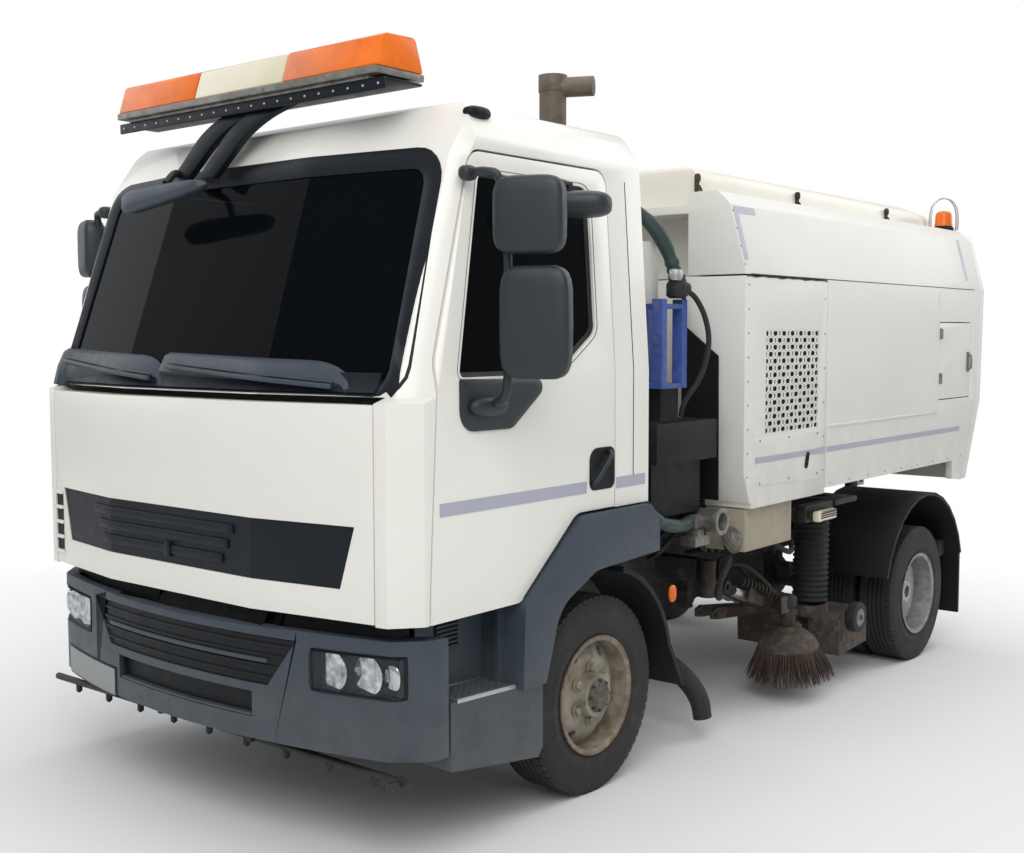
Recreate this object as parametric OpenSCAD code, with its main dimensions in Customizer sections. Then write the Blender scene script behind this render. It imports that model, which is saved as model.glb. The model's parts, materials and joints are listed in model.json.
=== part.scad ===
// Street sweeper truck: a two-axle forward-control lorry with a tilting cab, a fixed engine
// housing, a tipping hopper and a left-hand sweep gear.
// X points to the vehicle's left, Y to its rear and Z up. Heights of everything that the
// springs carry are given in a level body, which then leans nose-down by the rake.

/* [Vehicle] */
// Distance between the two axles
wheelbase = 3150; // [3100:10:3250]
// How far the sprung body leans nose-down, in degrees
rake = 1.77; // [0:0.01:2]
// Width over the cab and the body panels
body_w = 2130; // [2110:2:2150]
// Height of the axles above the ground, equal to the tyre's radius
tyre_r = 388; // [380:1:392]
// Width of one tyre
tyre_w = 205; // [195:1:210]
// Radius of the rim's flange
rim_r = 235; // [230:1:240]

/* [Cab] */
// Front overhang of the cab at its centre line
cab_front = 1225; // [1215:1:1230]
// Underside of the cab in front of the wheel
cab_low = 850; // [845:1:855]
// Back wall of the cab behind the front axle
cab_rear = 258; // [250:1:262]
// Top of the cab's roof at its centre line
cab_top = 2625; // [2620:1:2640]
// Thickness of the cab's walls and doors
cab_wall = 50; // [45:1:55]
// Distance from the front axle forward to the cab's tilt pin
tilt_y = 1120; // [1115:1:1125]
// Height of the cab's tilt pin
tilt_z = 600; // [595:1:605]

/* [Sweeper body] */
// Front plane of the body panels behind the front axle
body_front = 1030; // [1028:1:1040]
// Joint between the fixed engine housing and the hopper
body_joint = 1845; // [1840:1:1860]
// Height of the crease between the upright and the sloping panels
waist_z = 2052; // [2045:1:2060]
// Height of the roof's shoulders
shoulder_z = 2433; // [2425:1:2440]
// Underside of the hopper's skirt
skirt_z = 1030; // [1025:1:1040]
// Thickness of the hopper's walls
hopper_wall = 40; // [36:1:44]

/* [Hidden] */

$fn = 48;
gap = 6;                     // clearance round doors and between tipping panels
half_w = body_w / 2;
body_axle_z = 385;           // the front axle's height in the level body
centre_y = 1363;             // the whole vehicle's middle, measured back from the front axle
arc_steps = 6;               // straight pieces in a rounded corner

// Wheels
front_wheel_x = 902;         // middle of a front tyre
rear_outer_x = 935;          // middle of an outer rear tyre
twin_pitch = 232;            // distance between the two tyres of a twin
kingpin_x = 800;
kingpin_r = 18;
spindle_r = 30;
rear_spindle_r = 35;
fit = 0.05;                  // radial clearance of a running fit
bead_r = 223;
stud_circle_r = 102;
stud_hole_r = 11;
stud_count = 6;

// Chassis
rail_x = 430;                // outer face of a chassis rail
rail_low = 560;
rail_top = 760;
rail_flange = 65;
rail_wall = 8;
rail_front = -1000;
rail_rear = 3600;
tip_y = 3640;                // hinge of the hopper
tip_z = 870;
tip_pin_r = 20;
tilt_pin_r = 16;
tow_z = 515;                 // towing socket in the front cross plate
tow_r = 28;

// Cab: outlines are rows of [position, height, corner radius]
face_yaw = 9.6;              // turn of the windscreen's outer thirds
face_x = 420;                // where the outer thirds begin
corner_yaw = 50;             // turn of the corner behind them
corner_x = 985;
corner_lean = 0.68;          // share of the screen's slope that the corner follows
panel_half_w = 934;
panel_top = 1566;
panel_low = 856;
panel_thick = 30;
door_gap = 8;                // clearance round a door, for its swing
door_hinge_y = -1004;
face_rows = [[-cab_front, 700, 0], [2500, 700, 0], [2500, 2800, 0], [-623, 2800, 0],
    [-905, 2394, 0], [-1175, 1588, 0], [-cab_front, 1572, 0]];
cab_side_rows = [[-cab_front, cab_low, 0], [-545, cab_low, 60], [-215, 1128, 90],
    [cab_rear, 1128, 0], [cab_rear, 2470, 0], [228, 2615, 70], [-640, 2600, 0],
    [-800, 2545, 60], [-902.3, 2402, 0], [-1172, 1597, 0], [-cab_front, 1572, 0]];
cab_front_rows = [[-half_w, 840, 0], [half_w, 840, 0], [half_w, 1650, 0], [1012, 2450, 60],
    [945, 2580, 90], [0, cab_top, 0], [-945, 2580, 90], [-1012, 2450, 60],
    [-half_w, 1650, 0]];
door_rows = [[-1012, 700, 0], [-545, 700, 0], [-545, cab_low + 6, 60], [-219, 1131, 90],
    [22, 1131, 0], [22, 2405, 60], [-748, 2405, 60], [-964, 1700, 200],
    [door_hinge_y, 980, 0]];
window_rows = [[-868, 1650, 20], [-330, 1650, 160], [-90, 1800, 60], [-90, 2338, 50],
    [-715, 2338, 40]];
screen_rows = [[-952, 1612, 60], [952, 1612, 60], [910, 2372, 80], [-910, 2372, 80]];

// Arch and step beside the front wheel
arch_r = 458;                // room for the steered tyre
arch_outer_rows = [[-560, 540, 0], [-548, 842, 60], [-211, 1121, 90], [262, 1121, 70],
    [312, 1020, 0], [312, 924, 0]];
arch_inner_rows = [[-120, 905, 140], [-345, 800, 160], [-430, 540, 0]];

// Sweeper body
roof_notch_x = 766;          // half width of the hood's recess in the roof
roof_notch_z = 2375;
hopper_rows = [[half_w, skirt_z, 0], [half_w, waist_z, 0], [980, 2372, 50],
    [916, shoulder_z, 60], [roof_notch_x, shoulder_z, 0], [roof_notch_x, roof_notch_z, 0]];
hatch_y = [3309, 3816];
hatch_z = [1403, 1860];

// Sweep gear, measured on level ground
swing_y = 1330;
swing_x = 700;
arm_y = 1400;
arm_z = 600;
broom_y = 1820;
broom_x = 880;
broom_tilt = 8;
broom_r = 230;
nozzle_pivot_y = 1560;
nozzle_pivot_z = 430;
nozzle_tilt = 5;
hose_x = 800;
hose_y = 2235;
hose_r = 92;
hose_top = 905;

// ---- geometry helpers ----
function unit(v) = v / norm(v);
function point(row) = [row[0], row[1]];

// The arc of radius r that rounds corner b between a and c
function corner(a, b, c, r) = r == 0 ? [b] : let(
    u = unit(a - b),
    v = unit(c - b),
    half = acos(u * v) / 2,
    m = b + unit(u + v) * r / sin(half),
    s = b + u * r / tan(half) - m,
    e = b + v * r / tan(half) - m,
    from = atan2(s[1], s[0]),
    turn = (atan2(e[1], e[0]) - from + 540) % 360 - 180)
    [for (k = [0:arc_steps]) m + r * [cos(from + turn * k / arc_steps),
        sin(from + turn * k / arc_steps)]];

// The outline of rows with its corners rounded
function outline(rows) = let(n = len(rows)) [for (i = [0:n - 1])
    each corner(point(rows[(i + n - 1) % n]), point(rows[i]), point(rows[(i + 1) % n]),
        rows[i][2])];

// Counter-clockwise rows moved inwards by t
function inset(rows, t) = let(n = len(rows)) [for (i = [0:n - 1]) let(
    a = point(rows[(i + n - 1) % n]),
    b = point(rows[i]),
    c = point(rows[(i + 1) % n]),
    u = unit(b - a),
    v = unit(c - b),
    nu = [-u[1], u[0]],
    nv = [-v[1], v[0]],
    p = b + (nu + nv) * t / (1 + nu * nv),
    turn = u[0] * v[1] - u[1] * v[0],
    r = rows[i][2])
    [p[0], p[1], r == 0 ? 0 : turn > 0 ? max(r - t, 0) : r + t]];

// Rows on one side followed by their mirror image
function mirrored(rows) = concat(rows,
    [for (i = [len(rows) - 1:-1:0]) [-rows[i][0], rows[i][1], rows[i][2]]]);

// A ring of n points of radius r round point p, square to direction d
function ring(p, d, r, n) = let(
    side = unit(cross(d, abs(d[0]) < 0.9 ? [1, 0, 0] : [0, 1, 0])),
    up = cross(side, d))
    [for (k = [0:n - 1]) p + r * (side * cos(360 * k / n) + up * sin(360 * k / n))];

// Extrudes an outline drawn in Y and Z along X
module along_x(points, x0, x1)
    translate([x0, 0, 0]) rotate([90, 0, 90]) linear_extrude(x1 - x0) polygon(points);

// Extrudes an outline drawn in X and Z along Y
module along_y(points, y0, y1)
    translate([0, y1, 0]) rotate([90, 0, 0]) linear_extrude(y1 - y0) polygon(points);

// A box from its lowest to its highest corner
module block(a, b) translate(a) cube(b - a);

// Cylinders along X and along Z
module pin_x(x0, x1, r) translate([x0, 0, 0]) rotate([0, 90, 0]) cylinder(h = x1 - x0, r = r);
module pin_y(y0, y1, r) translate([0, y0, 0]) rotate([-90, 0, 0]) cylinder(h = y1 - y0, r = r);

// Both sides of the vehicle, or one of them
module both_sides() { children(); mirror([1, 0, 0]) children(); }
module on_side(side) { if (side > 0) children(); else mirror([1, 0, 0]) children(); }

// The frame's origin, the leaning sprung body and the level axles
module place() translate([0, -centre_y, 0]) children();
module sprung() place() translate([0, 0, tyre_r]) rotate([rake, 0, 0])
    translate([0, 0, -body_axle_z]) children();

// A tube of radius r through the route's points
module hose(route, r, sides) {
    n = len(route);
    rings = [for (i = [0:n - 1]) let(
        d = unit(route[min(i + 1, n - 1)] - route[max(i - 1, 0)]))
        ring(route[i], d, r, sides)];
    points = concat([for (q = rings) each q], [route[0], route[n - 1]]);
    walls = [for (i = [0:n - 2]) for (k = [0:sides - 1]) let(
        a = i * sides + k,
        b = i * sides + (k + 1) % sides)
        each [[a, b, a + sides], [b, b + sides, a + sides]]];
    ends = [for (k = [0:sides - 1]) each [
        [n * sides, (k + 1) % sides, k],
        [n * sides + 1, (n - 1) * sides + k, (n - 1) * sides + (k + 1) % sides]]];
    polyhedron(points, concat(walls, ends));
}

// ---- chassis ----
module rail() {
    difference() {
        block([rail_x - rail_flange, rail_front, rail_low], [rail_x, rail_rear, rail_top]);
        block([rail_x - rail_flange - 1, rail_front - 1, rail_low + rail_wall],
            [rail_x - rail_wall, rail_rear + 1, rail_top - rail_wall]);
    }
}

module chassis_frame() {
    color("dimgray") sprung() {
        both_sides() {
            rail();
            // front horn that carries the cab's tilt pin and the bumper
            block([rail_x - 60, -1180, 450], [rail_x - 20, -940, 655]);
            block([rail_x - 60, -1000, 500], [rail_x - 20, -940, 700]);
            translate([0, -tilt_y, tilt_z]) pin_x(305, rail_x - 50, tilt_pin_r);
            // rear lug of the hopper's hinge
            block([rail_x - 50, 3560, 700], [rail_x - 20, 3680, tip_z + 40]);
            translate([0, tip_y, tip_z]) pin_x(rail_x - 45, rail_x + 30, tip_pin_r);
            // deck bearer of the engine housing
            block([rail_x - 60, 1100, rail_top], [rail_x - 10, 1790, 985]);
        }
        // outrigger of the sweep gear
        block([rail_x, 1290, 590], [swing_x - 45, 1370, 700]);
        block([rail_x, nozzle_pivot_y - 60, 400], [rail_x + 60, nozzle_pivot_y - 10, 600]);
    }
}

module cross_members() color("dimgray") sprung() {
    for (y = [-910, 800, 1500, 2250, 2900, 3525])
        block([-(rail_x - rail_wall), y - 30, 610], [rail_x - rail_wall, y + 30, 710]);
    // front cross plate with the towing socket
    difference() {
        block([-(rail_x - 60), -1100, 450], [rail_x - 60, -1075, 555]);
        translate([0, 0, tow_z]) pin_y(-1110, -1070, tow_r);
    }
    translate([0, 0, tow_z]) difference() {
        pin_y(-1190, -1075, 44);
        pin_y(-1191, -1074, tow_r);
    }
}

// Shaft in two lengths from the gearbox to the axle, with the flange between them
module propshaft() color("#33302c") {
    sprung() translate([0, 0, 560]) pin_y(744, 1290, 38);
    place() {
        block([-60, 1288, 545], [60, 1306, 660]);
        translate([0, wheelbase - 300, tyre_r + 40]) rotate([-6.5, 0, 0])
            pin_y(-1550, 131, 40);
    }
}

module engine() color("slategray") sprung() {
    block([-300, -330, 520], [300, 420, 1030]);
    block([-180, 420, 520], [180, 740, 830]);
}

module front_axle() color("#2b2b2b") place() translate([0, 0, tyre_r]) {
    beam_low = -70;
    both_sides() {
        difference() {
            union() {
                block([620, -34, -38], [kingpin_x, 34, 38]);
                translate([kingpin_x, 0, -38]) cylinder(h = 76, r = 36);
            }
            translate([kingpin_x, 0, -60]) cylinder(h = 120, r = kingpin_r + fit);
        }
        along_y([[450, beam_low - 36], [620, -38], [620, 38], [450, beam_low + 36]], -34, 34);
        // leaf spring and its pad
        block([365, -600, 45], [430, 600, 75]);
        block([365, -480, 75], [430, 480, 100]);
        block([365, -60, beam_low + 36], [430, 60, 45]);
        block([380, -595, 75], [415, -545, 156]);
        block([380, 545, 75], [415, 595, 191]);
    }
    block([-450, -34, beam_low - 36], [450, 34, beam_low + 36]);
}

module rear_axle() color("#2b2b2b") place() translate([0, wheelbase, tyre_r]) {
    pin_x(-575, 575, 62);
    // differential casing
    turned([[0, -150], [110, -150], [170, -70], [170, 70], [110, 150], [0, 150]]);
    both_sides() pin_x(575, 965, rear_spindle_r);
}

// Leaf springs with their pads, and shackles against the rails' outer faces
module rear_springs() color("#2b2b2b") place() translate([0, wheelbase, tyre_r])
    both_sides() {
        block([455, -620, 110], [525, 410, 140]);
        block([455, -470, 140], [525, 330, 168]);
        block([455, -60, 63], [525, 60, 110]);
        for (y = [-580, 370]) {
            block([432, y - 25, 145], [450, y + 25, 300]);
            block([432, y - 25, 140], [520, y + 25, 185]);
        }
    }

module tyre_ring(x) {
    // tread, shoulders and beads of one tyre, turned about X
    half = tyre_w / 2;
    bead = half - 14;
    color("#1c1c1c") translate([x, 0, 0]) rotate([0, 90, 0]) rotate_extrude($fn = 96)
        polygon([[bead_r, -bead], [rim_r + 12, -bead - 2], [300, -half], [340, -half],
            [tyre_r - 22, -half + 10], [tyre_r - 6, -half + 22], [tyre_r, -half + 40],
            [tyre_r, half - 40], [tyre_r - 6, half - 22], [tyre_r - 22, half - 10],
            [340, half], [300, half], [rim_r + 12, bead + 2], [bead_r, bead]]);
}

module front_tyre(side) place() translate([0, 0, tyre_r]) tyre_ring(side * front_wheel_x);

module rear_tyres(side) place() translate([0, wheelbase, tyre_r]) {
    tyre_ring(side * rear_outer_x);
    tyre_ring(side * (rear_outer_x - twin_pitch));
}

module stud_holes(x0, x1)
    for (k = [0:stud_count - 1]) rotate([360 * k / stud_count, 0, 0])
        translate([0, 0, stud_circle_r]) pin_x(x0, x1, stud_hole_r);

// Turns an outline of [radius, distance along X] about X
module turned(points) rotate([0, 90, 0]) rotate_extrude($fn = 96) polygon(points);

// Rim barrel with its two flanges, centred on the tyre
module rim() {
    seat = bead_r - 0.3;
    well = bead_r - 9;
    edge = tyre_w / 2 - 12;
    turned([[seat, 2 - edge], [seat, edge - 2], [rim_r - 1, edge + 4],
        [rim_r - 1, edge + 12], [well, edge + 6], [well, -edge - 6],
        [rim_r - 1, -edge - 12], [rim_r - 1, -edge - 4]]);
}

module hand_holes(r, x0, x1)
    for (k = [0:5]) rotate([60 * (k + 0.5), 0, 0]) translate([0, 0, 175]) pin_x(x0, x1, r);

module front_wheel(side) color("#b9b4a5") on_side(side)
    place() translate([front_wheel_x, 0, tyre_r]) difference() {
        union() {
            rim();
            turned([[spindle_r + fit, 8], [120, 8], [150, 14], [190, -10], [bead_r - 9, -14],
                [bead_r - 9, 16], [166, 50], [142, 60], [92, 62], [84, 106],
                [spindle_r + fit, 106]]);
        }
        stud_holes(-20, 90);
        hand_holes(20, -40, 80);
    }

module rear_wheels(side) color("#c9cacb") on_side(side)
    place() translate([0, wheelbase, tyre_r]) {
        well = bead_r - 9;
        face = twin_pitch / 2;
        // the two rims share one bolted hub; their discs meet back to back
        difference() {
            union() {
                translate([rear_outer_x, 0, 0]) {
                    rim();
                    turned([[70, -face], [134, -face], [150, 10 - face], [well, -44],
                        [well, -14], [148, 26 - face], [134, 12 - face], [70, 12 - face]]);
                }
                translate([rear_outer_x - twin_pitch, 0, 0]) {
                    rim();
                    turned([[70, face - 12], [134, face - 12], [148, face - 26], [well, 14],
                        [well, 44], [150, face - 10], [134, face], [70, face]]);
                }
                turned([[rear_spindle_r + fit, 640], [150, 640], [150, 800], [72, 806],
                    [72, rear_outer_x + 20], [60, rear_outer_x + 34],
                    [rear_spindle_r + fit, rear_outer_x + 34]]);
            }
            stud_holes(770, rear_outer_x - 60);
            hand_holes(18, 700, 960);
        }
    }

module knuckle(side) color("#3a3836") on_side(side)
    place() translate([0, 0, tyre_r]) {
        for (s = [-1, 1]) translate([kingpin_x - 38, -36, s * 52 - 11]) cube([90, 72, 22]);
        block([kingpin_x + 42, -36, -63], [kingpin_x + 52, 36, 63]);
        translate([kingpin_x, 0, -63]) cylinder(h = 126, r = kingpin_r);
        pin_x(kingpin_x + 46, kingpin_x + 60, 140);
        pin_x(kingpin_x + 52, front_wheel_x + 100, spindle_r);
        translate([kingpin_x - 20, 36, -63]) cube([30, 130, 20]);
    }

// ---- front end ----
bumper_r = 3237;             // plan radius of the bumper's face
bumper_front = 1235;
bow_step = 100;
// A slab with a curved front face, moved back by t
module bow(t, z0, z1) translate([0, 0, z0]) linear_extrude(z1 - z0)
    polygon(concat([for (x = [-1100:bow_step:1100])
        [x, bumper_r - bumper_front - sqrt(pow(bumper_r - t, 2) - x * x)]],
        [[1100, -700], [-1100, -700]]));

bumper_low = 394;
bumper_top = 796;
bumper_wall = 38;
bumper_plan_rows = [[-half_w, -925, 0], [-half_w, -985, 80], [-940, -1110, 120],
    [-800, -1300, 0], [800, -1300, 0], [940, -1110, 120], [half_w, -985, 80],
    [half_w, -925, 0]];
module bumper_plan(t) translate([0, 0, 300]) linear_extrude(600)
    polygon(outline(inset(bumper_plan_rows, t)));

module bumper() color("#5d6a78") sprung() difference() {
    intersection() {
        bow(0, bumper_low, bumper_top);
        bumper_plan(0);
        along_x([[-1300, bumper_low], [-900, bumper_low], [-900, bumper_top],
            [-1175, bumper_top], [-1300, bumper_top - 24]], -1100, 1100);
    }
    intersection() {
        bow(bumper_wall, 300, 900);
        translate([0, bumper_wall + 2, 0]) bumper_plan(bumper_wall);
    }
    block([-430, -1188, 300], [430, -900, 900]);
    // grille opening, lower opening and lamp sockets
    along_y([[-470, 590], [470, 590], [598, 760], [-598, 760]], -1300, -1100);
    block([-400, -1300, 470], [400, -1100, 560]);
    both_sides() block([655, -1300, 600], [1000, -1050, 745]);
}

module bumper_grille() color("#1d1f22") sprung() difference() {
    intersection() {
        along_y([[-466, 594], [466, 594], [592, 756], [-592, 756]], -1300, -1100);
        bow(8, 500, 900);
    }
    bow(26, 400, 1000);
}

module headlamps() color("#e8ebee") sprung() both_sides() difference() {
    intersection() {
        block([660, -1300, 605], [995, -1052, 740]);
        bow(4, 500, 900);
        bumper_plan(4);
    }
    bow(50, 400, 1000);
}

module spray_bar() color("#2a2c2e") place() {
    translate([0, -1090, 310]) pin_x(-1040, 1040, 14);
    for (x = [-880:220:880]) block([x - 8, -1100, 272], [x + 8, -1080, 300]);
    for (x = [-270, 270]) {
        block([x - 12, -1120, 300], [x + 12, -1090, 318]);
        block([x - 12, -1122, 300], [x + 12, -1106, 520]);
    }
}

module step(side) on_side(side) color("#5d6a78") sprung() {
    // arch moulding
    difference() {
        along_x(outline(concat(arch_outer_rows, arch_inner_rows)), 960, 1088);
        block([900, -1000, 500], [984, 400, 1200]);
    }
    // liner over the wheel
    difference() {
        along_x([[-575, 540], [-575, 838], [-556, 838], [-215, 1112], [300, 1112],
            [300, 924], [-120, 905], [-345, 800], [-440, 540]], 960, 984);
        translate([950, 0, body_axle_z]) pin_x(0, 60, arch_r);
    }
    // inner wall above the tread, and its return to the liner
    block([875, -915, 540], [900, -560, 838]);
    block([880, -574, 541], [983, -560, 837]);
    // step box
    difference() {
        along_x([[-915, 340], [-915, 572], [-422, 548], [-422, 300], [-450, 269],
            [-860, 330]], 840, half_w);
        translate([0, 0, body_axle_z]) pin_x(800, 1020, arch_r);
        along_x([[-895, 350], [-895, 500], [-500, 500], [-500, 300], [-860, 345]],
            800, half_w - 25);
    }
}

// A curved guard round a wheel: centre, inner radius, thickness and arc angles from the rear
module guard(cy, cz, r, t, x0, x1, from, to) {
    n = 12;
    inner = [for (k = [0:n]) let(a = from + (to - from) * k / n)
        [cy + r * cos(a), cz + r * sin(a)]];
    outer = [for (k = [n:-1:0]) let(a = from + (to - from) * k / n)
        [cy + (r + t) * cos(a), cz + (r + t) * sin(a)]];
    along_x(concat(outer, inner), x0, x1);
}

module mudguards() color("#202326") sprung() both_sides() {
    // behind the front wheel
    guard(-10, 400, 475, 22, 760, 1040, 12, 74);
    along_x([[453, 501], [478, 501], [585, 306], [563, 306]], 760, 1040);
    block([rail_x, 380, 640], [762, 420, 680]);
    // over the rear twin wheels
    guard(wheelbase, 300, 560, 20, 575, 1080, 16, 164);
    along_x([[3690, 85], [3712, 85], [3712, 470], [3690, 470]], 600, 1070);
    for (y = [2700, 3560]) block([rail_x, y, 660], [620, y + 40, 700]);
}

module fuel_tank() color("silver") sprung() translate([-760, 1450, 620])
    intersection() {
        pin_y(0, 900, 240);
        block([-200, 0, -200], [200, 900, 200]);
    }

module battery_box() color("#26282a") sprung() {
    block([-940, 850, 480], [-540, 1330, 790]);
    block([-540, 1000, 600], [-rail_x, 1050, 680]);
    block([-560, 1700, 560], [-rail_x, 1760, 640]);
}

// ---- behind the cab ----
module exhaust_stack() color("#6b665e") sprung() {
    x = 242;
    y = 700;
    translate([x, y, 1500]) cylinder(h = 1395, r = 62);
    translate([x, y, 2895]) cylinder(h = 75, r = 66);
    translate([x, y, 2915]) rotate([0, 0, 25]) pin_x(0, 190, 45);
    block([x - 90, y - 90, 1050], [x + 90, y + 90, 1500]);
}

module service_frame() {
    color("#2f55a4") sprung() {
        for (x = [700, 880]) for (y = [560, 720]) block([x, y, 1560], [x + 50, y + 40, 1940]);
        block([700, 560, 1560], [930, 760, 1580]);
        block([700, 600, 1900], [930, 720, 1920]);
    }
    color("#23282c") sprung() {
        block([480, 420, 1250], [1000, 900, 1420]);
        block([520, 470, 1015], [940, 860, 1250]);
        block([rail_x - 20, 500, 960], [900, 800, 1015]);
        block([rail_x - 40, 560, rail_top], [rail_x, 760, 960]);
        block([720, 600, 1420], [900, 740, 1560]);
    }
    color("#d8dad6") sprung() translate([770, 640, 1921]) cylinder(h = 265, r = 74);
}

module hoses() color("#33544d") sprung() {
    hose([[700, 470, 2330], [770, 520, 2325], [835, 575, 2280], [880, 625, 2200],
        [905, 665, 2110], [915, 690, 2030]], 32, 10);
    translate([915, 700, 1990]) sphere(r = 48, $fn = 24);
    hose([[925, 740, 1985], [950, 790, 1950], [975, 830, 1870], [985, 850, 1770],
        [970, 850, 1670], [945, 835, 1590], [915, 810, 1530], [895, 790, 1480],
        [890, 780, 1432]], 14, 8);
    hose([[985, 350, 1090], [988, 400, 1045], [985, 480, 1005], [978, 580, 980],
        [962, 680, 968], [944, 750, 968], [938, 786, 968]], 28, 10);
}

module hydrant_coupling() color("#b9b7ae") sprung() {
    translate([0, 892, 968]) difference() {
        union() {
            pin_x(880, 1010, 52);
            pin_x(1010, 1040, 60);
            block([900, -95, -30], [960, -48, 30]);
        }
        pin_x(905, 1050, 40);
    }
    block([890, 780, 860], [970, 900, 905]);
    block([890, 800, 905], [970, 850, 935]);
}

// ---- sweeper body ----
module body_section(t, y0, y1, low)
    along_y(outline(inset(concat([[-half_w, low, 0], [half_w, low, 0]],
        [for (i = [1:len(hopper_rows) - 1]) hopper_rows[i]],
        [for (i = [len(hopper_rows) - 1:-1:1]) [-hopper_rows[i][0], hopper_rows[i][1],
            hopper_rows[i][2]]]), t)), y0, y1);

module engine_housing() color("#e9e7df") sprung() difference() {
    body_section(0, body_front, body_joint - gap, 1002);
    block([-1100, 1000, waist_z - 2], [1100, 1900, 2600]);
    // recess behind the cab, with the splayed edge of the side panels
    along_y([[-822, 900], [822, 900], [822, 1728], [roof_notch_x - 20, 1800],
        [roof_notch_x - 20, 2600], [-roof_notch_x + 20, 2600], [-roof_notch_x + 20, 1800],
        [-822, 1728]], body_front - 1, 1230);
    // lower front corner cut back
    along_x([[1000, 900], [1100, 900], [1100, 1024], [1084, 1030], [body_front - 20, 1230],
        [1000, 1230]], -1100, 1100);
    both_sides() block([1055, 1226, 1337], [1100, 1757, 1809]);
}

module tool_box() {
    color("#cdbf9f") sprung() block([820, 1110, 800], [1030, 1560, 998]);
    color("#4a4640") sprung() {
        block([rail_x - 10, 1110, 860], [815, 1700, 998]);
        difference() {
            block([660, 2110, 905], [1000, 2370, 935]);
            translate([hose_x, hose_y, 800]) cylinder(h = 300, r = hose_r - 8);
        }
        block([930, 1790, 850], [990, 2100, 935]);
        block([rail_x, 2170, 905], [655, 2300, 935]);
        block([990, 1830, 860], [1060, 2000, 910]);
    }
}

overhang_front = 1300;       // front wall of the overhang between its two wings
overhang_z = waist_z + gap;
rear_cut = [[1000, 800], [3714, 800], [3714, 905], [3934, 1376], [3964, waist_z],
    [3974, 2500], [1000, 2500]];

// The hopper's form moved in by t. Its front reaches forward over the engine housing.
module hopper_form(t) difference() {
    body_section(t, body_front + t, 4100 + 4 * t, skirt_z);
    block([-1100, 1000, 900], [1100, body_joint + t, overhang_z + t]);
    block([-roof_notch_x - t, 1000, 2000], [roof_notch_x + t, overhang_front + t,
        roof_notch_z - hopper_wall + 4 + t * 9]);
}

module hopper() color("#eceae3") sprung() {
    difference() {
        intersection() {
            hopper_form(0);
            along_x(rear_cut, -1100, 1100);
        }
        hopper_form(hopper_wall);
        block([half_w - 60, hatch_y[0], hatch_z[0]], [half_w + 10, hatch_y[1], hatch_z[1]]);
    }
    both_sides() {
        // lower rear corners
        along_x([[3560, 920], [3700, 905], [3755, 1024], [3755, 1045], [3560, 1045]],
            half_w - hopper_wall, half_w - 1);
        // lugs of the tipping hinge
        difference() {
            block([rail_x - 16, 3590, tip_z - 40], [rail_x + 22, 3690, skirt_z + 5]);
            translate([0, tip_y, tip_z]) pin_x(rail_x - 20, rail_x + 30, tip_pin_r + fit);
        }
    }
}

module hood() color("#efece1") sprung() intersection() {
    along_y(outline([[-760, roof_notch_z + 1, 0], [760, roof_notch_z + 1, 0],
        [752, 2560, 70], [0, 2585, 0], [-752, 2560, 70]]), 1100, 3960);
    along_x(outline([[1102, roof_notch_z + 1, 0], [3958, roof_notch_z + 1, 0],
        [3900, 2515, 60], [3300, 2590, 0], [1130, 2590, 60]]), -800, 800);
}

module beacon() color("#e0702a") sprung() translate([850, 3900, shoulder_z]) {
    cylinder(h = 22, r = 62);
    translate([0, 0, 22]) cylinder(h = 95, r = 50);
    translate([0, 0, 117]) sphere(r = 48);
}

module rear_door() color("#e9e7df") sprung() {
    intersection() {
        along_x([[3720, 905], [3790, 905], [4010, 1376], [4040, waist_z], [4050, 2400],
            [3980, 2400], [3970, waist_z], [3940, 1376]], -half_w, half_w);
        body_section(0, 3500, 4200, 900);
    }
}

module inspection_door() color("#eceae3") sprung() {
    block([half_w - 40, hatch_y[0] + gap, hatch_z[0] + gap],
        [half_w, hatch_y[1] - gap, hatch_z[1] - gap]);
    for (z = [1500, 1760]) translate([half_w + 6, hatch_y[0] + gap, z])
        cylinder(h = 60, r = 8);
}

module rear_bumper() color("#24272a") sprung() {
    block([-1000, 3560, 440], [1000, 3640, 540]);
    both_sides() {
        block([rail_x - 60, 3560, 540], [rail_x - 20, 3600, 559]);
        block([620, 3640, 460], [980, 3652, 530]);
    }
}

// ---- sweep gear ----
module suction_hose() color("#1f2124") place()
    translate([hose_x, hose_y, 445]) cylinder(h = hose_top + 66 - 445, r = hose_r);

module broom_bracket() color("#4b443d") place() {
    translate([swing_x, swing_y, 560]) difference() {
        union() {
            cylinder(h = 180, r = 40);
            block([-30, 0, 0], [30, 52, 80]);
        }
    }
    block([swing_x - 30, arm_y - 20, 560], [swing_x + 30, arm_y - 0, 640]);
}

module broom_arm() color("#57504a") place() {
    difference() {
        union() {
            translate([swing_x, arm_y + 45, arm_z]) pin_x(-50, 50, 34);
            along_x([[arm_y + 45, arm_z - 30], [broom_y - 90, 470], [broom_y + 60, 430],
                [broom_y + 60, 460], [broom_y - 90, 520], [arm_y + 45, arm_z + 30]],
                swing_x - 30, swing_x + 30);
        }
        translate([swing_x, arm_y + 45, arm_z]) pin_x(-60, 60, 16);
    }
    block([swing_x + 30, broom_y - 30, 430], [broom_x + 40, broom_y + 40, 458]);
    translate([broom_x, broom_y, 440]) rotate([broom_tilt, 0, 0])
        translate([0, 0, -60]) cylinder(h = 90, r = 42);
}

module broom() color("#4a3a2c") place()
    translate([broom_x, broom_y, 440]) rotate([broom_tilt, 0, 0]) {
        translate([0, 0, -180]) cylinder(h = 112, r1 = 150, r2 = 70);
        translate([0, 0, -345]) cylinder(h = 165, r1 = broom_r, r2 = 150);
    }

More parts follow.
